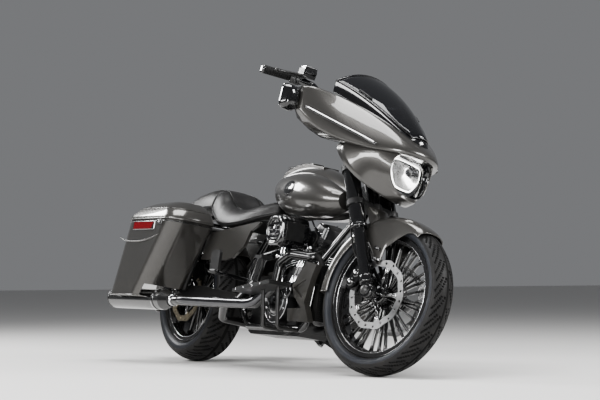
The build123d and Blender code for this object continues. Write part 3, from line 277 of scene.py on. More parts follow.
def rubbery(name, colour, rough, dust):
    """Rubber with a dry grey film."""
    made, tree, shader = finish(name, Roughness=rough, IOR=1.45, Specular_IOR_Level=0.25)
    where = node(tree, "TexCoord").outputs["Object"]
    grit = node(tree, "TexNoise", {"Vector": where, "Scale": 420.0, "Detail": 4.0})
    film = group_node(tree, ROAD_FILM, {"Colour": (*colour, 1), "Amount": dust, "Height": 1.2})
    bump = node(tree, "Bump", {"Height": grit.outputs["Fac"], "Strength": 0.18, "Distance": 0.0006})
    marks = group_node(tree, SMUDGES, {"Roughness": rough, "Spread": 0.18, "Scale": 16.0})
    wire(tree, shader, film["Colour"], marks["Roughness"], bump.outputs["Normal"])
    return made


def seat_leather():
    """Black seat hide with a fine pebble grain and wiping marks in its roughness."""
    made, tree, shader = finish("seat_leather", IOR=1.4, Coat_Weight=0.15, Coat_Roughness=0.3)
    marks = group_node(tree, SMUDGES, {"Roughness": 0.42, "Spread": 0.18, "Scale": 9.0})
    grain = group_node(tree, HIDE_GRAIN, {"Scale": 430.0, "Depth": 0.3, "Normal": marks["Normal"]})
    tone = blend_colour(tree, grain["Tone"], (0.005, 0.005, 0.0055, 1), (0.014, 0.0135, 0.013, 1))
    wire(tree, shader, tone, marks["Roughness"], grain["Normal"])
    return made


def glassy(name, colour, rough, clear, glow=None):
    """Lens or screen material with faint smears."""
    made, tree, shader = finish(name, Transmission_Weight=clear, IOR=1.46, Base_Color=(*colour, 1))
    if glow:
        shader.inputs["Emission Color"].default_value = (*glow[0], 1)
        shader.inputs["Emission Strength"].default_value = glow[1]
    marks = group_node(tree, SMUDGES, {"Roughness": rough, "Spread": 0.05, "Scale": 9.0})
    tree.links.new(marks["Roughness"], shader.inputs["Roughness"])
    return made


PAINT = metallic_paint()
# Each row: name, colour, metal, roughness and its spread, lacquer, the rubbed edge's grey, wear and dust.
COATED = {row[0]: coated(*row) for row in (
    ("gloss_black", (0.004, 0.004, 0.0045), 0.0, 0.13, 0.08, 1.0, 0.03, 0.12, 0.03),
    ("satin_black", (0.007, 0.007, 0.007), 0.0, 0.4, 0.14, 0.1, 0.04, 0.15, 0.05),
    ("engine_black", (0.006, 0.006, 0.0065), 0.0, 0.3, 0.16, 0.3, 0.05, 0.2, 0.04),
    ("wheel_black", (0.005, 0.005, 0.0055), 0.0, 0.2, 0.1, 0.9, 0.03, 0.15, 0.05),
    ("exhaust_black", (0.006, 0.006, 0.006), 0.0, 0.22, 0.1, 0.8, 0.04, 0.15, 0.05),
    ("dash_plastic", (0.009, 0.009, 0.01), 0.0, 0.5, 0.12, 0.0, 0.03, 0.15, 0.0),
    ("bright_steel", (0.62, 0.62, 0.63), 1.0, 0.12, 0.1, 0.0, 0.8, 0.3, 0.0),
    ("smoked_chrome", (0.09, 0.09, 0.095), 0.9, 0.16, 0.1, 0.4, 0.2, 0.2, 0.0),
    ("machined_edge", (0.5, 0.5, 0.51), 1.0, 0.26, 0.14, 0.0, 0.7, 0.4, 0.0),
)}
GLOSS_BLACK, SATIN_BLACK, ENGINE_BLACK, WHEEL_BLACK, EXHAUST_BLACK, DASH, CHROME, CHROME_DARK, MACHINED = (
    COATED.values())
DISC_STEEL = brushed_disc("disc_steel", (0.34, 0.34, 0.34))
GOLD_DISC = brushed_disc("aged_disc_steel", (0.5, 0.44, 0.33))
TYRE = rubbery("tyre_rubber", (0.012, 0.012, 0.0125), 0.5, 0.06)
# Darker, rougher copy of the tyre rubber for the groove faces: painted shade in the grooves.
TYRE_GROOVE_SHADE = rubbery("tyre_groove_painted_shade", (0.004, 0.004, 0.004), 0.8, 0.02)
TYRE_BAND = rubbery("sidewall_band", (0.02, 0.022, 0.027), 0.42, 0.06)
RUBBER = rubbery("grip_rubber", (0.008, 0.008, 0.008), 0.6, 0.06)
LEATHER = seat_leather()
SMOKE = glassy("smoked_screen", (0.035, 0.036, 0.04), 0.03, 0.75)
LENS = glassy("lamp_lens", (0.92, 0.94, 0.96), 0.02, 1.0)
HALO = glassy("halo_light", (0.95, 0.97, 1.0), 0.2, 0.0, glow=((1.0, 0.98, 0.94), 5.0))
HALO_SOFT = glassy("strip_light", (0.9, 0.9, 0.92), 0.15, 0.0, glow=((1.0, 0.98, 0.95), 0.8))
MARKER = glassy("marker_lens", (0.62, 0.56, 0.5), 0.12, 0.3)
RED_LENS = glassy("red_lens", (0.16, 0.006, 0.008), 0.08, 0.25)

NODE_FINISH = {
    **COATED, "paint": PAINT, "cooler": SATIN_BLACK, "disc_steel": DISC_STEEL, "tyre": TYRE, "rubber": RUBBER,
    "leather": LEATHER, "smoked_screen": SMOKE, "lamp_lens": LENS, "marker_lens": MARKER, "red_lens": RED_LENS,
}
for part in frame["record"]["subparts"]:
    solid = nodes[part["node"]]
    for holder in solid.material_slots:
        holder.material = NODE_FINISH[part["material_slot"]]


# Geometry helpers: every point is in millimetres on the upright machine, carried to where the machine stands.


def piece(name, points, faces, body, finish_used, stands_for=(), smooth=True):
    """Makes a mesh piece that rides on a CAD body."""
    place = PLACES.get(body, PARKED)
    mesh = bpy.data.meshes.new(name)
    mesh.from_pydata([place @ (Vector(point) * MM) for point in points], [], faces)
    mesh.materials.append(finish_used)
    shaped = bmesh.new()
    shaped.from_mesh(mesh)
    bmesh.ops.recalc_face_normals(shaped, faces=shaped.faces)
    shaped.to_mesh(mesh)
    shaped.free()
    for face in mesh.polygons:
        face.use_smooth = smooth
    made = bpy.data.objects.new(name, mesh)
    bpy.context.collection.objects.link(made)
    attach(made, body)
    if stands_for:
        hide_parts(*stands_for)
    return made


def modify(made, subdivide=0, thick=0.0, bevel=0.0, offset=-1.0):
    """Adds the usual modifiers: a wall, subdivision and bevelled edges, lengths in millimetres."""
    if thick:
        wall = made.modifiers.new("wall", "SOLIDIFY")
        wall.thickness = thick * MM
        wall.offset = offset
        wall.use_even_offset = True
    if bevel:
        edge = made.modifiers.new("edge", "BEVEL")
        edge.width = bevel * MM
        edge.segments = 2
        edge.limit_method = "ANGLE"
        edge.angle_limit = math.radians(35)
        edge.harden_normals = False
    if subdivide:
        smooth = made.modifiers.new("smooth", "SUBSURF")
        smooth.levels = subdivide
        smooth.render_levels = subdivide
    return made


def crease(made, pairs, sharpness):
    """Creases the edges between the given pairs of vertices."""
    wanted = {tuple(sorted(pair)): sharpness for pair in pairs}
    mesh = made.data
    layer = mesh.attributes.get("crease_edge") or mesh.attributes.new("crease_edge", "FLOAT", "EDGE")
    for edge in mesh.edges:
        key = tuple(sorted(edge.vertices))
        if key in wanted:
            layer.data[edge.index].value = wanted[key]
    return made


def column_edges(rows, columns, column, closed=False):
    """Pairs of vertices that follow each other down one column of a grid."""
    last = rows if closed else rows - 1
    return [(row * columns + column, (row + 1) % rows * columns + column) for row in range(last)]


def turns(count, start=0.0):
    """Angles of a full turn in equal steps, the first one start steps round."""
    return [2 * math.pi * (step + start) / count for step in range(count)]


def round_axle(axle, radius, turn, y):
    """Point at a radius and an angle round an axle, at one distance across."""
    return axle[0] + radius * math.cos(turn), y, axle[2] + radius * math.sin(turn)


def ring_line(axle, radius, y, count=96):
    """Closed circle round an axle, at one distance across."""
    return [round_axle(axle, radius, turn, y) for turn in turns(count)]


def strips(rows, columns, around=False, along=False):
    """Quads of a grid of rows by columns; around closes each row, along closes the rows."""
    faces = []
    for row in range(rows if along else rows - 1):
        for column in range(columns if around else columns - 1):
            right = (column + 1) % columns
            below = (row + 1) % rows
            faces.append((row * columns + column, row * columns + right, below * columns + right,
                          below * columns + column))
    return faces


def skin(name, grid, body, finish_used, around=False, along=False, cap=False, **more):
    """Skins a grid given as rows of points; cap closes the first and last rows."""
    columns = len(grid[0])
    faces = strips(len(grid), columns, around, along)
    if cap:
        faces.append(tuple(range(columns))[::-1])
        faces.append(tuple((len(grid) - 1) * columns + index for index in range(columns)))
    return piece(name, [point for row in grid for point in row], faces, body, finish_used, **more)


def spline(points, count):
    """Smooth curve through the points (Catmull-Rom), as count points."""
    points = [Vector(point) for point in points]
    ends = [points[0] * 2 - points[1]] + points + [points[-1] * 2 - points[-2]]
    made = []
    for index in range(count):
        place = index * (len(points) - 1) / (count - 1)
        start = min(int(place), len(points) - 2)
        t = place - start
        p, q, r, s = ends[start:start + 4]
        made.append(0.5 * (q * 2 + (r - p) * t + (p * 2 - q * 5 + r * 4 - s) * t ** 2
                           + (q * 3 - p - r * 3 + s) * t ** 3))
    return made


def tube(name, points, radius, body, finish_used, sides=12, closed=False, flat=1.0, **more):
    """Tube along the points; radius is one number or one a point, flat squeezes it across its first side."""
    points = [Vector(point) for point in points]
    count = len(points)
    radii = radius if isinstance(radius, (list, tuple)) else [radius] * count
    side = None
    grid = []
    for index, point in enumerate(points):
        before = points[index - 1] if closed or index else point
        after = points[(index + 1) % count] if closed or index < count - 1 else point
        run = (after - before).normalized()
        if side is None:
            side = run.cross(Vector((0, 0, 1)) if abs(run.z) < 0.9 else Vector((1, 0, 0))).normalized()
        side = (side - run * side.dot(run)).normalized()
        other = run.cross(side)
        grid.append([point + (side * math.cos(turn) * flat + other * math.sin(turn)) * radii[index]
                     for turn in turns(sides)])
    return skin(name, grid, body, finish_used, around=True, along=closed, cap=not closed, **more)


def turned(name, centre, axis, profile, body, finish_used, segments=32, **more):
    """Revolves a profile of (along, radius) about an axis through a centre."""
    axis = Vector(axis).normalized()
    side = axis.cross(Vector((0, 0, 1)) if abs(axis.z) < 0.9 else Vector((1, 0, 0))).normalized()
    other = axis.cross(side)
    grid = []
    for along, radius in profile:
        grid.append([Vector(centre) + axis * along + (side * math.cos(turn) + other * math.sin(turn)) * radius
                     for turn in turns(segments)])
    return skin(name, grid, body, finish_used, around=True, cap=True, **more)


def block(name, centre, size, body, finish_used, turn=None, bevel=2.0, **more):
    """Box with bevelled edges; turn is a rotation matrix."""
    turn = turn or Matrix.Identity(3)
    corners = [Vector((x, y, z)) for x in (-0.5, 0.5) for y in (-0.5, 0.5) for z in (-0.5, 0.5)]
    points = [Vector(centre) + turn @ Vector([corner[i] * size[i] for i in range(3)]) for corner in corners]
    faces = [(0, 1, 3, 2), (4, 6, 7, 5), (0, 4, 5, 1), (2, 3, 7, 6), (0, 2, 6, 4), (1, 5, 7, 3)]
    made = piece(name, points, faces, body, finish_used, smooth=False, **more)
    return modify(made, bevel=bevel) if bevel else made


def gather(name, many):
    """Joins loose pieces that ride on one body into one object."""
    first = many[0]
    if len(many) > 1:
        with bpy.context.temp_override(active_object=first, selected_editable_objects=many, object=first):
            bpy.ops.object.join()
    first.name = name
    return first


def bolts(name, places, axis, radius, height, body, finish_used, sides=12):
    """A set of round-headed bolts with a dimple in each head."""
    profile = ((0, radius), (height * 0.8, radius), (height, radius * 0.8), (height, radius * 0.5),
               (height * 0.55, radius * 0.42))
    return gather(name, [turned(f"{name}_{index}", place, axis, profile, body, finish_used, sides)
                         for index, place in enumerate(places)])


def on_side(side, point):
    """Mirrors a point given for the left side onto either side."""
    return Vector((point[0], side * point[1], point[2]))


CRANK_X, CRANK_Z = 150, 290
CYLINDER_LEAN = math.radians(22.5)


def cylinder_point(sign, along, ahead=0.0, left=0.0):
    """Point by a cylinder's axis: along it from the crank, ahead of it and to the left."""
    lean = sign * CYLINDER_LEAN
    return Vector((CRANK_X + math.sin(lean) * along + math.cos(lean) * ahead, left,
                   CRANK_Z + math.cos(lean) * along - math.sin(lean) * ahead))


def cylinder_axis(sign):
    """Direction of a cylinder's axis, away from the crank."""
    lean = sign * CYLINDER_LEAN
    return Vector((math.sin(lean), 0, math.cos(lean)))


def fork_point(along, ahead=0.0, left=0.0):
    """Point of the steering: up its axis from the axle's level, ahead of it, to the left."""
    base = (FRONT_AXLE - STEER_FOOT).dot(STEER_UP)
    return STEER_FOOT + STEER_UP * (base + along) + STEER_AHEAD * ahead + Vector((0, left, 0))


# Fairing: wings, nose, screen, lamp and light strips.

WING_STATIONS = (
    (0, (868, 968), (888, 980), (874, 1004), (796, 1080), (560, 1185), (520, 1000)),
    (90, (848, 966), (866, 980), (850, 1004), (748, 1096), (545, 1190), (505, 1000)),
    (145, (806, 964), (826, 982), (752, 1076), (650, 1150), (525, 1192), (495, 1000)),
    (200, (742, 960), (758, 978), (626, 1144), (580, 1172), (505, 1192), (485, 995)),
    (270, (628, 972), (652, 1004), (530, 1182), (505, 1192), (480, 1188), (462, 992)),
    (330, (556, 990), (566, 1062), (494, 1190), (470, 1196), (445, 1188), (440, 1010)),
    (385, (490, 1028), (492, 1110), (466, 1194), (445, 1198), (408, 1188), (410, 1045)),
    (416, (448, 1075), (452, 1120), (446, 1178), (430, 1190), (410, 1180), (410, 1090)),
)


def build_wings():
    """Painted shell of the upper fairing, open towards the dash, with a crease along its ridge."""
    rows = []
    for side, stations in ((-1, WING_STATIONS[::-1]), (1, WING_STATIONS[1:])):
        for half, low, bulge, ridge, top, upper, lower in stations:
            rows.append([(x, side * half, z) for x, z in (lower, low, bulge, ridge, top, upper)])
    made = skin("fairing_wings", rows, "steering", PAINT, stands_for=("fairing_outer",))
    columns = len(rows[0])
    for column, sharpness in ((0, 1.0), (1, 0.85), (3, 0.55), (5, 1.0)):
        crease(made, column_edges(len(rows), columns, column), sharpness)
    for row in (0, len(rows) - 1):
        crease(made, [(row * columns + column, row * columns + column + 1) for column in range(columns - 1)], 0.9)
    ends = bmesh.new()
    ends.from_mesh(made.data)
    ends.verts.ensure_lookup_table()
    for row in (0, len(rows) - 1):
        ends.faces.new([ends.verts[row * columns + column] for column in range(columns)])
    bmesh.ops.recalc_face_normals(ends, faces=ends.faces)
    ends.to_mesh(made.data)
    ends.free()
    for face in made.data.polygons:
        face.use_smooth = True
    modify(made, thick=4, subdivide=3)


LAMP_Z = 898
LAMP_CORNERS = ((-95, 64), (95, 64), (98, 0), (52, -64), (-52, -64), (-98, 0))
# Right half of the nose, from the top of the mouth to its bottom: lip, middle of the cheek and rear edge.
NOSE_RAYS = (
    ((850, 0, 992), (846, 0, 1010), (800, 0, 1020)),
    ((832, 80, 988), (800, 110, 1004), (700, 150, 1012)),
    ((806, 124, 962), (700, 192, 992), (476, 201, 1008)),
    ((790, 132, 900), (690, 186, 930), (528, 203, 930)),
    ((796, 108, 842), (716, 152, 862), (602, 185, 860)),
    ((804, 74, 812), (760, 104, 815), (690, 129, 800)),
    ((808, 44, 803), (812, 56, 782), (760, 63, 766)),
    ((811, 0, 801), (822, 0, 780), (764, 0, 764)),
)


def build_nose():
    """Painted cheeks and chin round the headlamp's mouth, and the black tunnel inside it."""
    right = [[Vector((x, -y, z)) for x, y, z in ray] for ray in NOSE_RAYS]
    left = [[Vector((x, y, z)) for x, y, z in ray] for ray in NOSE_RAYS[-2:0:-1]]
    rays = right + left
    rows = []
    for lip, cheek, rear in rays:
        roll = lip.lerp(cheek, 0.12)
        rows.append([lip + Vector((-14, 0, 0)) + (lip - cheek).normalized() * 2, lip, roll, lip.lerp(cheek, 0.6),
                     cheek, rear])
    made = skin("fairing_nose", rows, "steering", PAINT, along=True)
    for column, sharpness in ((1, 0.8), (5, 1.0)):
        crease(made, column_edges(len(rows), len(rows[0]), column, closed=True), sharpness)
    modify(made, thick=4, subdivide=2)
    tunnel = []
    for lip, _, _ in rays:
        inner = Vector((757, lip.y * 0.86, LAMP_Z + (min(lip.z, 972) - LAMP_Z) * 0.9))
        inward = -2 if lip.y > 0 else 2 if lip.y < 0 else 0
        tunnel.append([lip + Vector((-12, inward, 0)), lip.lerp(inner, 0.5), inner])
    modify(skin("lamp_tunnel", tunnel, "steering", GLOSS_BLACK, along=True), thick=3, subdivide=1)


def lamp_ring(x, scale):
    """Headlamp outline at one depth, its corners rounded by cutting them back three times."""
    points = [Vector((y * scale, z * scale)) for y, z in LAMP_CORNERS]
    for cut in (0.14, 0.25, 0.25):
        points = [point.lerp(points[(index + step) % len(points)], cut) for index, point in enumerate(points)
                  for step in (-1, 1)]
    return [Vector((x, point.x, LAMP_Z + point.y)) for point in points]


def lamp_rings(*steps):
    """Headlamp outlines, one for each (depth, scale)."""
    return [lamp_ring(x, scale) for x, scale in steps]


def build_headlamp():
    """Lit outline, stepped bowl with projector lenses, and a clear cover."""
    tube("headlamp_halo", lamp_ring(757, 0.955), 4.2, "steering", HALO, sides=10, closed=True)
    rim = lamp_rings((756, 1.13), (762, 1.06), (757, 1.0), (750, 0.92))
    skin("headlamp_rim", rim, "steering", GLOSS_BLACK, around=True)
    bowl = lamp_rings((754, 0.9), (744, 0.86), (726, 0.8), (722, 0.4))
    made = skin("headlamp_bowl", bowl, "steering", DASH, around=True, cap=True, stands_for=("headlamp",))
    tilt = Matrix.Rotation(math.radians(24), 3, "Y")
    cells = [(row, column, -62 + column * 31, height) for row, height in enumerate((930, 946))
             for column in range(5)]
    bright = [block(f"upper_cell_{row}_{column}", (738 - row * 4, y, height), (14, 27, 12), "steering",
                    CHROME, tilt, bevel=1.5) for row, column, y, height in cells]
    bright += [block(f"shelf_{column}", (738, -34 + 68 * column, 906), (22, 60, 6), "steering", CHROME,
                     bevel=1.5) for column in range(2)]
    gather("headlamp_cells", bright)
    gather("headlamp_lit_cells", [
        block(f"lit_cell_{row}_{column}", (746 - row * 4, y, height), (3, 23, 8), "steering", HALO, tilt,
              bevel=1) for row, column, y, height in cells])
    for name, profile, finish_used in (
            ("projector", ((0, 27), (8, 27), (16, 22), (21, 12), (23, 2)), LENS),
            ("projector_ring", ((0, 34), (6, 33), (12, 30), (9, 27), (0, 27)), CHROME)):
        gather(f"headlamp_{name}s", [turned(f"{name}_{side}", (724, side * 36, 872), (1, 0, 0), profile,
                                            "steering", finish_used, 28) for side in SIDES])
    cover = lamp_rings((760, 0.98), (764, 0.9), (767, 0.6), (768, 0.2))
    skin("headlamp_cover", cover, "steering", LENS, around=True, cap=True)


# Rows of the screen from its foot to its top: forward, half-breadth, height in the middle and at the edge.
SCREEN = ((806, 52, 1068, 1060), (620, 168, 1250, 1190), (456, 244, 1358, 1268))


def screen_point(u, v, lift=0.0):
    """Point of the screen: u across from -1 to 1, v up from 0 to 1."""
    mixed = []
    for index in range(4):
        low, middle, top = (section[index] for section in SCREEN)
        mixed.append(low * (1 - v) * (1 - 2 * v) + middle * 4 * v * (1 - v) + top * v * (2 * v - 1))
    x, half, centre, edge = mixed
    bow = 1 - u * u
    return Vector((x + 26 * bow * (1 - v) + lift, u * half, edge + (centre - edge) * bow + lift))


def build_screen():
    """Smoked screen with a rolled edge, the black vent band below it and its slot."""
    grid = [[screen_point(-1 + 2 * column / 24, row / 16) for column in range(25)] for row in range(17)]
    made = skin("windscreen_glass", grid, "steering", SMOKE, stands_for=("windscreen",))
    modify(made, thick=4)
    border = [screen_point(-1, 1 - step / 18) for step in range(19)]
    border += [screen_point(-1 + 2 * step / 10, 0) for step in range(1, 10)]
    border += [screen_point(1, step / 18) for step in range(19)]
    tube("windscreen_trim", border, 4, "steering", GLOSS_BLACK, sides=8)
    top = [screen_point(-1 + 2 * step / 24, 1) for step in range(25)]
    tube("windscreen_top_edge", top, 3, "steering", GLOSS_BLACK, sides=8)
    rows = []
    for point in border:
        out = Vector((0.25, 0.55 * (1 if point.y > 0 else -1) * min(1, abs(point.y) / 60), 0))
        rows.append([point + Vector((-14, 0, 4)), point + out * 8 + Vector((0, 0, -6)),
                     point + out * 26 + Vector((0, 0, -30)), point + out * 30 + Vector((-2, 0, -62))])
    modify(skin("vent_band", rows, "steering", GLOSS_BLACK), thick=3, subdivide=1)
    for side in SIDES:
        line = [screen_point(side * 0.93, 0.7 - 0.18 * step / 4, 3) for step in range(5)]
        tube(f"vent_slot_{WORD[side]}", line, 5, "steering", DASH, sides=8)


def build_light_strips():
    """Long lit strip in a dark groove on each wing."""
    rods, glows = [], []
    for side in SIDES:
        route = spline([on_side(side, p) for p in ((464, 404, 1091), (524, 360, 1068), (607, 300, 1036),
                                                   (689, 240, 1005), (748, 206, 981))], 24)
        rods.append(tube(f"strip_groove_{side}", route, 7.5, "steering", GLOSS_BLACK, sides=12))
        ahead = [point + Vector((4, side * 4, 3.5)) for point in route[1:-1]]
        glows.append(tube(f"strip_glow_{side}", ahead, 2.8, "steering", HALO_SOFT, sides=8))
    made = gather("strip_grooves", rods)
    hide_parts("fairing_lights")
    gather("strip_lights", glows)


build_wings()
build_nose()
build_headlamp()
build_screen()
build_light_strips()


# Wheels: grooved tyres with a printed side band, rim lips, hub caps, disc bolts and valves.


def tyre_profile(radius, width, bead, rim_width):
    """Half of a tyre's outline from the bead to the crown, as (across, radius)."""
    half = width / 2
    height = radius - bead
    return spline([(rim_width / 2 + 1, bead + 11, 0), (half - 3, bead + 0.3 * height, 0),
                   (half, bead + 0.5 * height, 0), (0.93 * half, bead + 0.7 * height, 0),
                   (0.36 * width, radius - 0.18 * height, 0), (0.2 * width, radius - 0.055 * height, 0),
                   (0, radius, 0)], 27)


def build_tyre(name, axle, sizes, body, node_name, pitch, slant):
    """Tyre whose slanted grooves are cut into the mesh, their faces a darker rubber as painted shade, with a duller
    band on each side wall.
    """
    radius, width, bead, rim_width = sizes
    half = tyre_profile(*sizes)
    profile = half + [Vector((-point.x, point.y, 0)) for point in half[-2::-1]]
    around = 540
    height = radius - bead
    points, grooved = [], []
    for step, turn in enumerate(turns(around)):
        for place in profile:
            share = abs(place.x) / (width / 2)
            tread = place.y > bead + 0.66 * height
            wave = (step / around * pitch + share * slant + (0.5 if place.x < 0 else 0)) % 1
            long_groove = tread and 0.1 < share < 0.88 and wave < 0.075
            short_groove = tread and 0.45 < share < 0.93 and 0.5 < wave < 0.56
            middle = tread and share < 0.035
            drop = 4.5 if long_groove or short_groove else 3.5 if middle else 0
            points.append(round_axle(axle, place.y - drop, turn, place.x))
            grooved.append(drop)
    columns = len(profile)
    inner = [point for side in (1, -1)
             for point in ring_line(axle, bead + 9, side * (rim_width / 2 - 8), around)]
    faces = strips(around, columns, along=True)
    base = len(points)
    for step in range(around):
        after = (step + 1) % around
        faces.append((step * columns, after * columns, base + after, base + step))
        faces.append((step * columns + columns - 1, base + around + step, base + around + after,
                      after * columns + columns - 1))
    made = piece(name, points + inner, faces, body, TYRE, stands_for=(node_name,))
    made.data.materials.append(TYRE_BAND)
    made.data.materials.append(TYRE_GROOVE_SHADE)
    per_row = columns - 1
    for face in made.data.polygons[:around * per_row]:
        drops = [grooved[corner] for corner in face.vertices]
        face.use_smooth = max(drops) == min(drops)
        # Groove faces take the darker rubber: painted shade in the grooves.
        if max(drops):
            face.material_index = 2
        elif bead + 0.2 * height < profile[face.index % per_row].y < bead + 0.52 * height:
            face.material_index = 1
    for side in SIDES:
        for share, size in ((0.16, 1.6), (0.56, 1.4)):
            r = bead + share * height
            across = next(point.x for point in half if point.y >= r)
            ring = ring_line(axle, r, side * (across - 0.2), 120)
            tube(f"{name}_rib_{side}_{share}", ring, size, body, TYRE, sides=6, closed=True)


def build_wheel_trim(name, axle, bead, rim_width, body, disc_y, disc_r, hub_bolt):
    """Rim edges, the inner one bright, bolts at the hub and at the disc, and a valve."""
    lips = []
    for word, out, inset, size, finish_used in (("lip", 7, 0.5, 1.6, GLOSS_BLACK),
                                                ("inner_lip", -13, 1, 1.3, MACHINED)):
        lips += [tube(f"{name}_{word}_{side}", ring_line(axle, bead + out, side * (rim_width / 2 - inset)),
                      size, body, finish_used, sides=8, closed=True) for side in SIDES]
    gather(f"{name}_rim_edges", lips)
    heads = []
    for side, y in disc_y:
        for index, turn in enumerate(turns(5)):
            for reach, size in ((hub_bolt, 5.5), (disc_r, 5)):
                head = ((0, size), (3.5, size), (4.5, size * 0.7), (4.5, size * 0.45), (2.5, size * 0.4))
                heads.append(turned(f"{name}_bolt_{side}_{index}_{reach}", round_axle(axle, reach, turn, y),
                                    (0, side, 0), head, body, MACHINED, 12))
    gather(f"{name}_disc_bolts", heads)
    turn = math.radians(40)
    out = Vector((math.cos(turn), 0, math.sin(turn)))
    foot = Vector(axle) + out * (bead - 24) + Vector((0, -rim_width / 2 + 14, 0))
    tube(f"{name}_valve", [foot, foot - out * 16 + Vector((0, -7, 0)), foot - out * 34 + Vector((0, -12, 0))],
         [5, 4, 3.4], body, RUBBER)


# Tyre's radius and width, bead's radius and rim's width.
FRONT_SIZES = (345, 130, 267, 89)
REAR_SIZES = (328, 180, 229, 140)
FRONT_RIM = FRONT_SIZES[2:]
REAR_RIM = REAR_SIZES[2:]
build_tyre("front_tyre_grooved", FRONT_AXLE, FRONT_SIZES, "front_wheel", "front_tyre", 26, 1.7)
build_tyre("rear_tyre_grooved", REAR_AXLE, REAR_SIZES, "rear_wheel", "rear_tyre", 26, 1.6)
build_wheel_trim("front_wheel", FRONT_AXLE, *FRONT_RIM, "front_wheel", ((1, 70.5), (-1, -70.5)), 118, 34)
build_wheel_trim("rear_wheel", REAR_AXLE, *REAR_RIM, "rear_wheel", ((-1, -98.5),), 106, 34)
for side in SIDES:
    turned(f"front_hub_cap_{side}", (FRONT_AXLE[0], side * 144, FRONT_AXLE[2]), (0, side, 0),
           ((0, 21), (6, 21), (10, 17), (11, 8)), "steering", SATIN_BLACK, 28)
    turned(f"rear_axle_nut_{side}", (REAR_AXLE[0], side * 164, REAR_AXLE[2]), (0, side, 0),
           ((0, 22), (8, 22), (12, 17), (14, 8)), "chassis", CHROME, 6, smooth=False)


# Seats: crowned leather with bolsters, seams and piping.


def seat_surface(name, stations, node_name, dips):
    """Stuffed seat. Each station is x, half-breadth, underside, top, how much the bolsters rise and how deep the
    middle sinks; dips are rows where a seam crosses the seat."""
    across = 29
    grid = []
    keys = [Vector(values[:3]) for values in stations]
    more = [Vector(values[3:6]) for values in stations]
    count = 4 * (len(stations) - 1) * 2 + 1
    for first, second in zip(spline(keys, count), spline(more, count)):
        x, half, low = first
        top, bolster, sink = second
        row = []
        for index in range(across):
            s = -1 + 2 * index / (across - 1)
            reach = abs(s)
            bulge = 1 + 0.03 * math.sin(math.pi * reach) if reach > 0.7 else 1
            crown = (1 - reach ** 3.4) ** 0.6
            z = low + (top - low) * (0.16 + 0.84 * crown)
            z += bolster * math.exp(-((reach - 0.66) / 0.2) ** 2) - sink * math.exp(-(reach / 0.42) ** 2)
            z -= 5 * math.exp(-((reach - 0.52) / 0.03) ** 2)
            for at in dips:
                z -= 5 * math.exp(-((x - at) / 5) ** 2)
            row.append((x, half * s * bulge, z))
        under = [(x, half * s, low + 4) for s in (1, 0.9, 0, -0.9, -1)]
        grid.append(row + under)
    made = skin(name, grid, "chassis", LEATHER, around=True, cap=True, stands_for=(node_name,))
    modify(made, subdivide=1)
    seams = [(0, 2, 3.4), (across - 1, 2, 3.4)]
    seams += [(round((across - 1) * (1 + sign * 0.52) / 2), 3.5, 2.2) for sign in SIDES]
    gather(f"{name}_piping", [
        tube(f"{name}_seam_{column}", [Vector(row[column]) + Vector((0, 0, lift)) for row in grid], size,
             "chassis", LEATHER, sides=8) for column, lift, size in seams])


seat_surface("rider_seat_leather", (
    (-96, 62, 722, 790, 0, 0), (-190, 116, 690, 780, 3, 3), (-320, 160, 656, 744, 12, 10),
    (-450, 168, 652, 764, 16, 14), (-545, 156, 690, 842, 6, 12), (-600, 143, 738, 858, 0, 2)),
    "seat_rider", (-262, -500))
seat_surface("pillion_seat_leather", (
    (-606, 141, 741, 858, 0, 0), (-660, 144, 740, 862, 2, 0), (-720, 143, 739, 856, 2, 0),
    (-850, 130, 739, 830, 1, 0), (-954, 93, 743, 784, 0, 0)), "seat_pillion", (-700, -830))


# Saddlebag lids, bands, markers and latches.

LID_LEVELS = ((641, -920, -428, -449, -201), (663, -908, -432, -447, -203), (699, -842, -452, -430, -212),
              (725, -768, -484, -402, -226), (740, -700, -506, -366, -240))


def bag_ring(z, rear, front, outer, inner, side, large=84, small=30):
    """Level outline of a bag: round outer corners, tighter inner ones."""
    ring = []
    corners = ((rear, outer, large, math.pi), (front, outer, large, 1.5 * math.pi),
               (front, inner, small, 0), (rear, inner, small, 0.5 * math.pi))
    for x, y, r, start in corners:
        r = min(r, 0.48 * (front - rear), 0.48 * (inner - outer))
        middle = (x + r if x == rear else x - r, y + r if y == outer else y - r)
        for step in range(9):
            turn = start + 0.5 * math.pi * step / 8
            ring.append(Vector((middle[0] + r * math.cos(turn), -side * (middle[1] + r * math.sin(turn)), z)))
    return ring


def build_lid(side):
    """Smooth domed lid with its seal, a raised panel line and a lip."""
    word = WORD[side]
    body = f"lid_{word}"
    levels = spline([Vector(level[:3]) for level in LID_LEVELS], 17)
    widths = spline([Vector((*level[3:], 0)) for level in LID_LEVELS], 17)
    grid = [bag_ring(a.x, a.y, a.z, b.x, b.y, side) for a, b in zip(levels, widths)]
    count = len(grid[0])
    points = [point for ring in grid for point in ring]
    last = grid[-1]
    middle = sum(last, Vector()) / count
    inner = [point.lerp(middle, 0.5) + Vector((0, 0, 2.5)) for point in last]
    points += inner + [middle + Vector((0, 0, 4))]
    faces = strips(len(grid) + 1, count, around=True)
    start = len(grid) * count
    faces += [(start + index, start + (index + 1) % count, start + count) for index in range(count)]
    made = piece(f"lid_{word}_shell", points, faces, body, PAINT, stands_for=(f"lid_{word}",))
    modify(made, thick=3.5)
    seal = bag_ring(642.5, -919, -429, -448, -202, side)
    tube(f"lid_{word}_seal", seal, 2.2, body, RUBBER, sides=6, closed=True)
    ridge = [point + Vector((0, 0, 0.6)) for point in grid[8]]
    tube(f"lid_{word}_ridge", ridge, 1.8, body, PAINT, sides=8, closed=True)
    tube(f"lid_{word}_lip", grid[1], 3.2, body, PAINT, sides=8, closed=True)


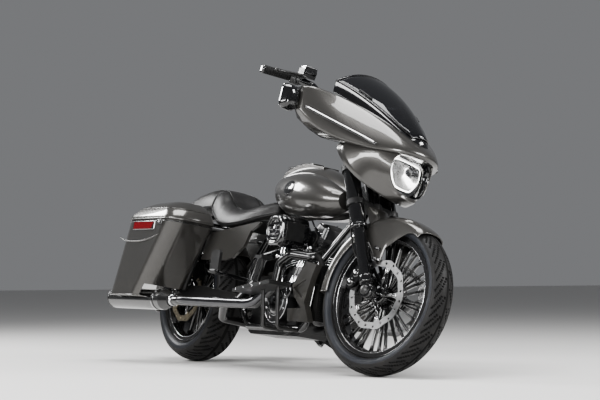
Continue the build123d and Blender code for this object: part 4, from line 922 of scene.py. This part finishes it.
def build_bag_trim(side):
    """Dark marker bezel, bottom lip, top band, step line and latch with its key of one saddlebag."""
    word = WORD[side]
    rim = bag_ring(269, -1050.2, -696.4, -430.2, -205, side)
    skirt = [point + Vector((0, side * 2.5 if abs(point.y) > 400 else 0, 0)) for point in rim]
    tube(f"saddlebag_{word}_bottom_lip", skirt, 4, "chassis", PAINT, sides=8, closed=True)
    top = bag_ring(633, -917, -434, -445.5, -205, side)
    tube(f"saddlebag_{word}_top_band", top, 2.6, "chassis", GLOSS_BLACK, sides=8, closed=True)
    route = ((-968, 436, 560), (-900, 441, 540), (-760, 443, 534), (-640, 443, 546), (-560, 441, 566))
    step = spline([on_side(side, point) for point in route], 20)
    tube(f"saddlebag_{word}_step", step, [1.2 + 2.4 * math.sin(math.pi * index / 19) for index in range(20)],
         "chassis", PAINT, sides=8)
    block(f"marker_bezel_{word}", on_side(side, (-706, 446, 612)), (222, 9, 44), "chassis", GLOSS_BLACK,
          bevel=4)
    block(f"latch_{word}", on_side(side, (-548, 447, 628)), (54, 9, 24), "chassis", SATIN_BLACK, bevel=3)
    turned(f"latch_key_{word}", on_side(side, (-548, 451, 628)), (0, side, 0),
           ((0, 7), (2.5, 7), (2.5, 3), (1, 2.6)), "chassis", CHROME, 20)


for side in SIDES:
    build_lid(side)
    build_bag_trim(side)


# Fuel tank: console, and the rim and key of the fuel door.

block("tank_console", (20, 0, 950), (250, 74, 14), "chassis", GLOSS_BLACK,
      Matrix.Rotation(math.radians(1.5), 3, "Y"), bevel=6)
turned("fuel_door_rim", (52, 0, 965), (0, 0, 1), ((0, 34), (2.5, 34), (4, 31), (4, 27), (2.4, 25)),
       "fuel_door", CHROME, 40)
turned("fuel_door_key", (52, 0, 965.5), (0, 0, 1), ((0, 8), (2, 8), (2.6, 5), (1, 3)), "fuel_door",
       SATIN_BLACK, 24)


# Front wheel: slim paired spokes, barrel, drilled wavy discs. Rear disc and spokes follow the same pattern.


def barrel_profile(bead, rim_width):
    """Closed section of a rim barrel as (across, radius)."""
    half = rim_width / 2
    return ((-half, bead + 9), (-half, bead - 13), (-half * 0.5, bead - 27), (half * 0.5, bead - 27),
            (half, bead - 13), (half, bead + 9), (half - 6, bead + 9), (half - 6, bead + 1), (half - 22, bead - 19),
            (22 - half, bead - 19), (6 - half, bead + 1), (6 - half, bead + 9))


def build_rim(name, axle, bead, rim_width, body, node_name, spokes, hub_half):
    """Barrel, hub and spokes. Each spoke row is its angle at the hub and at the rim, in degrees."""
    grid = [[round_axle(axle, r, turn, y) for y, r in barrel_profile(bead, rim_width)] for turn in turns(144)]
    made = skin(f"{name}_barrel", grid, body, WHEEL_BLACK, around=True, along=True, stands_for=(node_name,))
    modify(made, bevel=1.2)
    for face in made.data.polygons:
        face.use_smooth = False
    many = []
    for index, (start, end, width, depth) in enumerate(spokes):
        a, b = math.radians(start), math.radians(end)
        inner = Vector((math.cos(a), 0, math.sin(a))) * 34
        outer = Vector((math.cos(b), 0, math.sin(b))) * (bead - 24)
        run = (outer - inner).normalized()
        side = Vector((-run.z, 0, run.x))
        rows = []
        for t in (0, 0.12, 0.5, 0.86, 1):
            at = Vector(axle) + inner.lerp(outer, t)
            w = width * (1.35 - 0.9 * t * (1 - t) * 2 + 0.25 * (t > 0.9))
            d = depth * (1.3 - 0.5 * t + 0.3 * (t > 0.9))
            rows.append([at + side * (w * 0.5 * x) + Vector((0, d * 0.5 * y, 0))
                         for x, y in ((-1, -0.35), (-0.45, -1), (0.45, -1), (1, -0.35), (1, 0.35), (0.45, 1),
                                      (-0.45, 1), (-1, 0.35))])
        many.append(skin(f"{name}_spoke_{index}", rows, body, WHEEL_BLACK, around=True, cap=True))
    gather(f"{name}_spokes", many)
    turned(f"{name}_hub", axle, (0, 1, 0), ((-hub_half, 30), (-hub_half, 40), (-hub_half + 8, 44), (-18, 36),
                                            (18, 36), (hub_half - 8, 44), (hub_half, 40), (hub_half, 30)),
           body, WHEEL_BLACK, 48)


def build_disc(name, axle, y, radius, band, body, finish_used, stands_for=()):
    """Wavy drilled ring carried on five short lugs."""
    rows = []
    for turn in turns(300):
        outer = radius - 3 + 3.2 * math.cos(10 * turn)
        inner = radius - band + 2.4 * math.cos(10 * turn)
        rows.append([round_axle(axle, r, turn, y + across)
                     for r, across in ((outer, -2.5), (outer, 2.5), (inner, 2.5), (inner, -2.5))])
    ring = skin(name, rows, body, finish_used, around=True, along=True, smooth=False)
    cutters = []
    for index, turn in enumerate(turns(20, 0.5)):
        reach = radius - band * (0.42 if index % 2 else 0.58)
        cutters.append(turned(f"cutter_{index}", round_axle(axle, reach, turn, y - 6), (0, 1, 0),
                              ((0, 6), (12, 6)), body, finish_used, 20))
    drill = gather("drill", cutters)
    cut = ring.modifiers.new("holes", "BOOLEAN")
    cut.operation = "DIFFERENCE"
    cut.solver = "EXACT"
    cut.object = drill
    bpy.context.view_layer.update()
    shaped = bpy.data.meshes.new_from_object(ring.evaluated_get(bpy.context.evaluated_depsgraph_get()))
    ring.modifiers.remove(cut)
    ring.data = shaped
    bpy.data.objects.remove(drill)
    if stands_for:
        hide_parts(*stands_for)
    lugs, arms = [], []
    for index, turn in enumerate(turns(5)):
        out = Vector((math.cos(turn), 0, math.sin(turn)))
        side = Vector((-out.z, 0, out.x))
        rows = []
        for reach, half in ((radius - band - 24, 9), (radius - band - 10, 12), (radius - band + 5, 19)):
            at = Vector(axle) + out * reach + Vector((0, y, 0))
            rows.append([at + side * (half * way) + Vector((0, across, 0))
                         for way, across in ((1, -3.4), (1, 3.4), (-1, 3.4), (-1, -3.4))])
        lugs.append(skin(f"{name}_lug_{index}", rows, body, finish_used, around=True, cap=True, smooth=False))
        middle = Vector(axle) + out * (radius - band - 15) + Vector((0, y * 1.04, 0))
        lugs.append(turned(f"{name}_stud_{index}", middle, (0, y, 0), ((-2, 9), (3, 9), (4.5, 7), (2.5, 4)), body,
                           CHROME, 24))
        arm = [Vector(axle) + out * 36 + Vector((0, y * 0.94, 0)),
               Vector(axle) + out * (radius - band - 14) + Vector((0, y * 0.98, 0))]
        arms.append(tube(f"{name}_arm_{index}", arm, [13, 8], body, WHEEL_BLACK, sides=10))
    gather(f"{name}_lugs", lugs)
    gather(f"{name}_carrier", arms)


FRONT_SPOKES = [(36 * index + start, 36 * index + end, 9, 22) for index in range(10)
                for start, end in ((-7, -12.5), (7, 12.5), (0, -3.5))]
REAR_SPOKES = [(360 / 7 * index + start, 360 / 7 * index + end, 15, 34) for index in range(7)
               for start, end in ((-9, -9), (9, 9))]
build_rim("front_rim", FRONT_AXLE, *FRONT_RIM, "front_wheel", "front_rim", FRONT_SPOKES, 66)
build_rim("rear_rim", REAR_AXLE, *REAR_RIM, "rear_wheel", "rear_rim", REAR_SPOKES, 92)
build_disc("front_disc_right", FRONT_AXLE, -68, 158, 32, "front_wheel", DISC_STEEL, ("front_discs",))
build_disc("front_disc_left", FRONT_AXLE, 68, 158, 32, "front_wheel", DISC_STEEL)
build_disc("rear_disc_ring", REAR_AXLE, -96, 146, 32, "rear_wheel", GOLD_DISC, ("rear_disc_and_pulley",))
PULLEY = []
for step, turn in enumerate(turns(420)):
    tooth = 129.5 if step % 6 < 3 else 127
    PULLEY.append([round_axle(REAR_AXLE, r, turn, y)
                   for r, y in ((tooth, 104), (tooth, 132), (112, 130), (104, 122), (104, 114), (112, 106))])
skin("rear_pulley_ring", PULLEY, "rear_wheel", SATIN_BLACK, around=True, along=True, smooth=False)
gather("pulley_arms", [
    tube(f"pulley_arm_{index}", [REAR_AXLE + Vector((math.cos(turn) * reach, y, math.sin(turn) * reach))
                                 for reach, y in ((34, 116), (110, 118))], [14, 9], "rear_wheel", SATIN_BLACK,
         sides=10) for index, turn in enumerate(turns(5, 0.5))])
turned("pulley_hub", REAR_AXLE, (0, 1, 0), ((90, 40), (96, 42), (128, 42), (132, 38), (132, 30), (90, 30)),
       "rear_wheel", SATIN_BLACK, 40)

# Front mudguard: its side edge drops to form a cheek by each fork leg.

FENDER_EDGE = ((56, 322), (60, 317), (66, 304), (72, 274), (78, 244), (84, 220), (89, 206), (93, 158), (96, 136),
               (104, 138), (110, 190), (116, 262), (124, 292), (150, 294), (181, 294))
FENDER_ACROSS = ((79, 0), (79.5, 0.5), (79, 1), (75, 336), (64, 347), (44, 354.5), (22, 357.5), (0, 358.5))


def fender_edge(angle):
    """Radius of the mudguard's side edge at an angle above the horizontal ahead of the axle."""
    for (low, first), (high, second) in zip(FENDER_EDGE, FENDER_EDGE[1:]):
        if angle <= high:
            return first + (second - first) * max(0, (angle - low) / (high - low))
    return FENDER_EDGE[-1][1]


def build_front_fender():
    """Painted mudguard with beaded edges, its bolts and its stays."""
    rows = []
    for step in range(84):
        angle = 56 + 125 * step / 83
        turn = math.radians(angle)
        edge = fender_edge(angle)
        half = []
        for y, r in FENDER_ACROSS:
            if r <= 1:
                r = edge + (320 - edge) * r if edge < 318 else edge - 1 + r
            half.append((y, r))
        profile = half + [(-y, r) for y, r in half[-2::-1]]
        drop = 6 * max(0, (62 - angle) / 6) ** 2
        rows.append([round_axle(FRONT_AXLE, r - drop, turn, y) for y, r in profile])
    made = skin("front_fender_shell", rows, "steering", PAINT, stands_for=("front_fender",))
    modify(made, thick=3.5, subdivide=1)
    edges = []
    for column in (0, len(rows[0]) - 1):
        edges.append(tube(f"fender_bead_{column}", [row[column] for row in rows], 2.6, "steering", PAINT,
                          sides=8))
    for row in (0, -1):
        edges.append(tube(f"fender_end_{row}", rows[row], 2.6, "steering", PAINT, sides=8))
    gather("front_fender_beads", edges)
    places = [FRONT_AXLE + Vector((x, side * 81, z)) for side in SIDES for x, z in ((-18, 150), (-30, 196))]
    for side in SIDES:
        bolts(f"fender_bolts_{WORD[side]}",
              [place for place in places if place.y * side > 0], (0, side, 0), 6, 5, "steering", CHROME)
        for reach in (150, 196):
            start = FRONT_AXLE + Vector((-24, side * 79, reach))
            tube(f"fender_stay_{side}_{reach}", [start, start + Vector((-22, side * 14, 6))], 7, "steering",
                 GLOSS_BLACK, sides=10)


build_front_fender()

# Forks: slider lugs, bright axle ends, calipers, hoses and the painted lower cover.

for side in SIDES:
    word = WORD[side]
    turned(f"axle_clamp_{word}", FRONT_AXLE + Vector((0, side * 113, 0)), (0, side, 0),
           ((-29, 26), (-29, 33), (26, 33), (30, 29), (31, 17), (26, 15)), "steering", GLOSS_BLACK, 40)
    turned(f"axle_end_{word}", FRONT_AXLE + Vector((0, side * 143, 0)), (0, side, 0),
           ((0, 21), (4, 21), (5.5, 19), (5.5, 12), (2, 11)), "steering", CHROME, 28)
    turned(f"fork_collar_{word}", fork_point(312, -10, side * 113), STEER_UP,
           ((0, 36), (0, 38.5), (5, 39.5), (14, 39.5), (18, 38), (18, 36)), "steering", GLOSS_BLACK, 40)
    turned(f"fork_lower_ring_{word}", fork_point(44, -10, side * 113), STEER_UP,
           ((0, 27), (0, 30), (6, 31), (30, 29.5), (36, 27.5)), "steering", GLOSS_BLACK, 40)
    pots, pins = [], []
    for x, z in ((-88, 118), (-122, 82), (-146, 42)):
        at = FRONT_AXLE + Vector((x, side * 92, z))
        pots.append(turned(f"caliper_pot_{side}_{x}", at, (0, side, 0), ((-4, 20), (3, 20), (7, 17), (8, 10)),
                           "steering", GLOSS_BLACK, 28))
        pins.append(turned(f"caliper_pin_{side}_{x}", at + Vector((0, side * 7, 0)), (0, side, 0),
                           ((0, 6.5), (3, 6.5), (4, 5), (2, 3)), "steering", CHROME, 20))
    gather(f"caliper_pots_{word}", pots)
    gather(f"caliper_pins_{word}", pins)
    hose = spline([FRONT_AXLE + Vector((-92, side * 94, 140)), fork_point(210, -50, side * 118),
                   fork_point(330, -50, side * 120), fork_point(430, -46, side * 116),
                   fork_point(520, -42, side * 112)], 28)
    tube(f"brake_hose_{word}", hose, 4, "steering", RUBBER, sides=8)
cover = []
for height, ahead, half in ((292, 26, 58), (330, 38, 66), (380, 42, 74), (424, 40, 78)):
    at = fork_point(height)
    cover.append([at + STEER_AHEAD * (ahead * (1 - (u / 1.15) ** 4)) + Vector((0, half * u, 0))
                  for u in (-1, -0.8, -0.45, 0, 0.45, 0.8, 1)])
modify(skin("fork_cover", cover, "steering", PAINT), thick=4, subdivide=2)

# Engine: fin edges, rocker bolts, pushrods, covers, intake, pipes and hoses.

gather("fin_edges", [
    turned(f"fin_edge_{sign}_{fin}", cylinder_point(sign, 191 + fin * 11), cylinder_axis(sign),
           ((-1.6, 68), (-1.6, 71.6), (1.6, 71.6), (1.6, 68)), "chassis", MACHINED, 56)
    for sign in SIDES for fin in range(9)])
for sign in SIDES:
    word = "front" if sign > 0 else "rear"
    axis = cylinder_axis(sign)
    for y in (-1, 1):
        caps = [cylinder_point(sign, 374, ahead, y * 61) for ahead in (-30, 0, 30)]
        bolts(f"rocker_bolts_{word}_{y}", caps, (0, y, 0), 5, 10, "chassis", CHROME)
    heads = [cylinder_point(sign, 402, ahead, y) for ahead in (-28, 28) for y in (-40, 40)]
    bolts(f"head_bolts_{word}", heads, axis, 6, 6, "chassis", CHROME)
    lean = Matrix.Rotation(sign * CYLINDER_LEAN, 3, "Y")
    gather(f"head_fins_{word}", [
        block(f"head_fin_{word}_{index}", cylinder_point(sign, 298 + index * 13), (122, 152, 4), "chassis",
              ENGINE_BLACK, lean, bevel=1) for index in range(5)])
    for spread in (-13, 15):
        foot = Vector((CRANK_X + sign * 46 + spread, -111, 374))
        head = cylinder_point(sign, 296) + Vector((spread, -84, 0))
        run = (head - foot).normalized()
        length = (head - foot).length
        turned(f"pushrod_tube_{word}_{spread}", foot, run,
               ((2, 12), (10, 12), (14, 9.2), (length * 0.42, 9.2), (length * 0.44, 11.5), (length * 0.5, 11.5),
                (length * 0.52, 9.4), (length - 16, 9.4), (length - 12, 12.5), (length - 2, 12.5)), "chassis",
               CHROME, 28)
    plug = cylinder_point(sign, 318, sign * 40, -74)
    lead = spline([plug, plug + Vector((sign * 10, -20, 4)), plug + Vector((sign * 20, -18, 40)),
                   Vector((165 + sign * 20, -40, 690))], 20)
    tube(f"plug_lead_{word}", lead, 4, "chassis", RUBBER, sides=8)
    turned(f"plug_cap_{word}", plug, (0, -1, 0), ((0, 11), (14, 11), (18, 8), (22, 5)), "chassis", RUBBER, 20)

CAM = (142, 0, 296)
PRIMARY = (CRANK_X, 190, CRANK_Z)
gather("cam_cover_rings", [
    tube(f"cam_ring_{radius}", ring_line(CAM, radius, depth, 72), size, "chassis", MACHINED, sides=8,
         closed=True) for radius, depth, size in ((96, -148.5, 3), (64, -149.5, 2.2))])
turned("cam_cover_cap", (142, -146, 296), (0, -1, 0), ((0, 60), (3, 60), (7, 54), (9, 40), (9, 8)), "chassis",
       GLOSS_BLACK, 56)
bolts("cam_cover_bolts", [round_axle(CAM, 80, turn, -146) for turn in turns(8, 0.5)], (0, -1, 0), 5.5, 6,
      "chassis", CHROME)
turned("primary_ring", PRIMARY, (0, 1, 0), ((0, 88), (2, 88), (3, 84), (3, 70), (1, 66)), "chassis",
       GLOSS_BLACK, 56)
bolts("primary_bolts", [round_axle(PRIMARY, 94, turn, PRIMARY[1]) for turn in turns(7, 0.5)], (0, 1, 0), 5.5,
      5, "chassis", CHROME)
for name, x in (("timer_cover", 216), ("tappet_cover", 80)):
    turned(name, (x, -142, 350), (0, -1, 0), ((0, 40), (5, 40), (9, 35), (9, 12), (7, 8)), "chassis",
           GLOSS_BLACK, 40)
turned("oil_filter", (292, -30, 236), (1, 0, 0.1), ((0, 34), (4, 38), (66, 38), (74, 34), (78, 16)), "chassis",
       GLOSS_BLACK, 36)


def rounded(x, z, width, height, corner, y, count=8):
    """Rounded rectangle in a side plane."""
    line = []
    for sx, sz, start in ((1, 1, 0), (-1, 1, 90), (-1, -1, 180), (1, -1, 270)):
        for step in range(count + 1):
            turn = math.radians(start + 90 * step / count)
            line.append(Vector((x + sx * (width / 2 - corner) + corner * math.cos(turn), y,
                                z + sz * (height / 2 - corner) + corner * math.sin(turn))))
    return line


# Centre of the air cleaner, forward and up, and its outlines from the intake out: breadth, height, corner
# and place across.
AIR = (196, 612)
AIR_STEPS = ((150, 146, 44, -104), (150, 146, 44, -226), (144, 140, 42, -238), (128, 124, 36, -244.5),
             (104, 100, 30, -244.5), (96, 92, 28, -239))
made = skin("air_cleaner_body", [rounded(*AIR, *step) for step in AIR_STEPS], "chassis", GLOSS_BLACK,
            around=True, cap=True, stands_for=("air_cleaner",))
modify(made, bevel=2)
tube("air_cleaner_ring", rounded(*AIR, 116, 122, 52, -245.5), 5, "chassis", GLOSS_BLACK, sides=10,
     closed=True)
# Thin chrome line just outside the black ring: a painted highlight along the ring's edge.
tube("air_cleaner_highlight_line", rounded(*AIR, 124, 130, 56, -245), 1.6, "chassis", CHROME, sides=8, closed=True)
tube("intake_duct", [(165, -104, 612), (165, -50, 612)], 34, "chassis", SATIN_BLACK, sides=24)
block("air_cleaner_window", (270.5, -176, 612), (3, 96, 84), "chassis", SATIN_BLACK, bevel=1)
gather("air_cleaner_ribs", [
    tube(f"air_rib_{z}", [(AIR[0] + way * reach, -241, AIR[1] + z) for way in (-1, 1)], 4, "chassis",
         GLOSS_BLACK, sides=8) for z, reach in ((-40, 28), (-20, 40), (0, 44), (20, 40), (40, 28))])
turned("air_cleaner_boss", (AIR[0], -238, AIR[1]), (0, -1, 0), ((0, 20), (5, 20), (8, 16), (9, 4)), "chassis",
       CHROME_DARK, 32)

for name, at, axis, size in (("front_port_ring", (284, -34, 579), (0.75, -0.3, -0.2), 30),
                             ("header_clamp_front", (172, -172, 500), (0.05, 0, 1), 26),
                             ("header_clamp_low", (112, -191, 311), (-0.6, -0.25, -0.7), 26),
                             ("muffler_clamp_right", (-508, -329, 262), (1, 0, 0), 29),
                             ("muffler_clamp_left", (-508, 329, 261), (1, 0, 0), 27)):
    turned(name, at, axis, ((-8, size - 4), (-8, size), (8, size), (8, size - 4)), "chassis", CHROME, 32)
shield = spline([(150, -206, 352), (72, -232, 280), (-50, -252, 270), (-170, -274, 268), (-330, -306, 266),
                 (-452, -342, 264)], 30)
tube("header_shield", shield, [12 + 10 * math.sin(math.pi * index / 29) ** 0.4 for index in range(30)], "chassis",
     CHROME_DARK, sides=14, flat=0.8)
for side in SIDES:
    word = WORD[side]
    turned(f"muffler_tip_{word}", (-1124, side * 330, 262), (-1, 0, 0),
           ((-6, 46.5), (-2, 48.5), (1.5, 47), (2, 42), (-2, 38.5)), "chassis", EXHAUST_BLACK, 44)
    turned(f"muffler_band_{word}", (-640, side * 330, 262), (1, 0, 0),
           ((-12, 49), (-12, 51.5), (12, 51.5), (12, 49)), "chassis", GLOSS_BLACK, 44)

# Cooling: rows of radiator fins and two hoses.

gather("cooler_rows", [block(f"cooler_row_{index}", (450.5, 0, 226 + index * 9.6), (3, 226, 2.2), "chassis",
                             SATIN_BLACK, bevel=0) for index in range(25)])
for side, route in ((-1, ((424, -96, 462), (400, -104, 500), (330, -96, 524), (292, -60, 516))),
                    (1, ((424, 96, 222), (380, 60, 196), (320, 40, 200), (282, 40, 214)))):
    tube(f"coolant_hose_{WORD[side]}", spline(route, 24), 13, "chassis", RUBBER, sides=16)

# Rider's controls.

for side in SIDES:
    word = WORD[side]
    inner, outer = Vector((255, side * 345, 1256)), Vector((216, side * 480, 1248))
    rings = [turned(f"grip_ring_{side}_{index}", inner.lerp(outer, 0.08 + 0.84 * index / 11), outer - inner,
                    ((-2.5, 17), (-2.5, 19.4), (2.5, 19.4), (2.5, 17)), "steering", RUBBER, 24) for index in range(12)]
    gather(f"grip_rings_{word}", rings)
    turned(f"grip_end_{word}", outer, outer - inner, ((-6, 19), (-2, 21), (4, 20), (6, 12)), "steering", GLOSS_BLACK,
           28)
    lever = spline([on_side(side, p) for p in ((322, 322, 1262), (330, 352, 1261), (316, 402, 1255),
                                               (300, 452, 1247), (299, 474, 1245))], 20)
    tube(f"lever_{word}", lever, [8 - 3.4 * math.sin(math.pi * min(1, index / 15)) for index in range(20)], "steering",
         SATIN_BLACK, sides=12, flat=0.7)
    block(f"switch_pod_{word}", on_side(side, (272, 320, 1254)), (44, 44, 50), "steering", SATIN_BLACK, bevel=7)
    block(f"fluid_cup_{word}", on_side(side, (318, 296, 1294)), (50, 62, 34), "steering", GLOSS_BLACK,
          Matrix.Rotation(side * math.radians(14), 3, "Z"), bevel=5)
    block(f"fluid_cap_{word}", on_side(side, (318, 296, 1312)), (46, 58, 6), "steering", CHROME,
          Matrix.Rotation(side * math.radians(14), 3, "Z"), bevel=2)
    for index, (drop, reach) in enumerate(((0, 0), (10, 14))):
        cable = spline([on_side(side, p) for p in ((300 - drop, 300, 1262 - drop), (340, 262 + reach, 1240 - drop),
                                                   (400, 190 + reach, 1200 - drop), (470, 120, 1160 - drop))], 20)
        tube(f"control_cable_{word}_{index}", cable, 4, "steering", RUBBER, sides=8)
    block(f"mirror_glass_{word}", on_side(side, (385, 447, 1122)), (2, 80, 104), "steering", CHROME, bevel=1)


# Mirrors: a shell rounded towards the front, with the glass set in its rear rim.


def loop_across(x, y, z, width, height, corner):
    """Rounded rectangle seen from ahead."""
    return [Vector((x, y + point.x, z + point.z)) for point in rounded(0, 0, width, height, corner, 0, 6)]


SHELLS, GLASSES = [], []
for side in SIDES:
    rows = []
    for ahead, share in ((-20, 0.93), (-24, 0.97), (-23, 1), (-12, 0.99), (4, 0.92), (16, 0.78), (23, 0.58),
                         (26, 0.3)):
        rows.append(loop_across(409 + ahead, side * (447 - 3 * (1 - share)), 1122, 90 * share, 116 * share,
                                28 * share))
    SHELLS.append(skin(f"mirror_shell_{side}", rows, "steering", GLOSS_BLACK, around=True, cap=True))
    glass = [loop_across(390, side * 447, 1122, 84, 110, 26), loop_across(387, side * 447, 1122, 82, 108, 25),
             loop_across(386.5, side * 447, 1122, 78, 104, 23)]
    GLASSES.append(skin(f"mirror_glass_{side}", glass, "steering", CHROME, around=True, cap=True))
    arm = spline([on_side(side, p) for p in ((409, 420, 1130), (420, 404, 1136), (436, 388, 1141))], 10)
    SHELLS.append(tube(f"mirror_arm_{side}", arm, 9, "steering", GLOSS_BLACK, sides=14))
shells = gather("mirror_shells", SHELLS)
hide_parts("mirrors")
gather("mirror_glasses", GLASSES)

# Dials on the dash, read from the saddle.

for side in SIDES:
    word = WORD[side]
    at = Vector((548, side * 60, 1105))
    facing = Vector((-1, 0, 0.1))
    turned(f"dial_rim_{word}", at, facing, ((36, 43), (40.5, 43), (42, 40), (41, 36), (38, 35)), "steering", CHROME,
           40)
    turned(f"dial_face_{word}", at, facing, ((39.5, 37), (40, 36), (40.2, 2)), "steering", DASH, 40)
    across = facing.cross(Vector((0, 1, 0))).normalized()
    marks = []
    for step in range(13):
        turn = math.radians(-130 + 260 * step / 12)
        out = Vector((0, 1, 0)) * math.sin(turn) - across * math.cos(turn)
        root = at + facing.normalized() * 40.8
        marks.append(tube(f"dial_mark_{side}_{step}", [root + out * 28, root + out * 33], 0.7, "steering",
                          HALO_SOFT, sides=6))
    marks.append(tube(f"dial_needle_{side}", [root, root + Vector((0, 20 * side, -14))], 1, "steering", RED_LENS,
                      sides=6))
    gather(f"dial_marks_{word}", marks)

# Plain oval plate on each side of the tank, resting on the painted skin: its centre and its half axes.
EMBLEM = (112, 829)
PLATE = (52, 36)


def rest_on(node_name, x, side, z, lift):
    """Place on a solid's outer side at one forward and upward place, lifted off its skin."""
    solid = nodes[node_name]
    inward = PARKED.to_3x3() @ Vector((0, -side, 0))
    start = PARKED @ (Vector((x, side * 400, z)) * MM)
    back = solid.matrix_world.inverted()
    _, near, _, _ = solid.ray_cast(back @ start, back.to_3x3() @ inward)
    return PARKED.inverted() @ (solid.matrix_world @ near - inward.normalized() * lift * MM) / MM


for side in SIDES:
    rings = []
    for share, lift in ((1.0, -1), (1.0, 2.5), (0.9, 4), (0.5, 4.5), (0.1, 4.5)):
        rings.append([rest_on("fuel_tank", EMBLEM[0] + PLATE[0] * share * math.cos(turn), side,
                              EMBLEM[1] + PLATE[1] * share * math.sin(turn), lift) for turn in turns(36)])
    skin(f"tank_plate_{WORD[side]}", rings, "chassis", GLOSS_BLACK, around=True, cap=True)

# Footboard rubbers, their bolts and pedal pads.

for side in SIDES:
    word = WORD[side]
    slope = Matrix.Rotation(-math.atan2(41, 316), 3, "Y")
    block(f"board_pad_{word}", (215, side * 282, 349), (286, 98, 6), "chassis", RUBBER, slope, bevel=2)
    middle = Vector((215, side * 282, 352))
    gather(f"board_ribs_{word}", [
        block(f"board_rib_{side}_{index}", middle + slope @ Vector((-126 + index * 28, 0, 2)), (12, 88, 4),
              "chassis", RUBBER, slope, bevel=1.5) for index in range(10)])
    pads = [block(f"pedal_rib_{side}_{index}", (202 + index * 10, side * 292, 484), (5, 54, 4), "chassis", RUBBER,
                  bevel=1.5) for index in range(5)]
    gather(f"pedal_ribs_{word}", pads)
    heads = [on_side(side, (x, 338.5, 325 + (x - 57) * 41 / 316 - 7)) for x in (90, 160, 230, 300)]
    bolts(f"board_bolts_{word}", heads, (0, side, 0), 4.5, 3, "chassis", CHROME)


# Camera, floor and light.


CAMERA_PLACE = Vector((7.548, -4.613, 0.498))
CAMERA_YAW = math.radians(147.89)
CAMERA_TILT = math.radians(1.88)
CAMERA_LENS = 113.1
SENSOR = 36
# Name, place, aimed at, size and power, in metres and watts.
SOFT_BOXES = (
    ("overhead", (0.6, -0.4, 5.0), (0, 0, 0.4), (4.0, 2.2), 300),
    ("front_left", (4.2, 3.4, 3.0), (0.3, 0, 0.7), (2.0, 1.6), 230),
    ("near_side", (1.0, -5.0, 2.4), (0, 0, 0.6), (4.0, 1.0), 230),
    ("low_front", (5.2, -2.4, 1.2), (0.3, 0, 0.45), (1.0, 1.8), 170),
    ("rear_rim", (-4.2, -2.0, 3.0), (-0.4, 0, 0.7), (1.6, 1.6), 200),
)


def stage_set():
    """Pale floor, soft boxes and the camera."""
    camera_data = bpy.data.cameras.new("camera")
    camera_data.lens = CAMERA_LENS
    camera_data.sensor_width = SENSOR
    camera = bpy.data.objects.new("camera", camera_data)
    bpy.context.collection.objects.link(camera)
    ahead = Vector((math.cos(CAMERA_YAW) * math.cos(CAMERA_TILT), math.sin(CAMERA_YAW) * math.cos(CAMERA_TILT),
                    math.sin(CAMERA_TILT)))
    stand = Matrix.Translation(CAMERA_PLACE) @ ahead.to_track_quat("-Z", "Y").to_matrix().to_4x4()
    camera.matrix_world = STANCE @ stand
    bpy.context.scene.camera = camera

    made, tree, shader = finish("studio_floor", Roughness=0.6, Specular_IOR_Level=0.3)
    cloud = node(tree, "TexNoise", {"Scale": 1.2, "Detail": 5.0})
    tree.links.new(blend_colour(tree, cloud.outputs["Fac"], (0.62, 0.61, 0.6, 1), (0.66, 0.655, 0.645, 1)),
                   shader.inputs["Base Color"])
    bpy.ops.mesh.primitive_plane_add(size=60, location=(0, 0, -0.0005))
    floor = bpy.context.active_object
    floor.name = "studio_floor"
    floor.data.materials.append(made)

    world = bpy.context.scene.world or bpy.data.worlds.new("studio")
    bpy.context.scene.world = world
    world.use_nodes = True
    back = world.node_tree.nodes["Background"]
    back.inputs["Color"].default_value = (0.62, 0.63, 0.65, 1)
    back.inputs["Strength"].default_value = 0.3
    for name, place, aim, size, power in SOFT_BOXES:
        light = bpy.data.lights.new(name, "AREA")
        light.shape = "RECTANGLE"
        light.size, light.size_y = size
        light.energy = power
        lamp = bpy.data.objects.new(name, light)
        bpy.context.collection.objects.link(lamp)
        lamp.location = place
        lamp.rotation_mode = "QUATERNION"
        lamp.rotation_quaternion = (Vector(aim) - Vector(place)).to_track_quat("-Z", "Y")
    bpy.context.scene.view_settings.view_transform = "AgX"
    bpy.context.scene.view_settings.look = "AgX - Medium High Contrast"


stage_set()
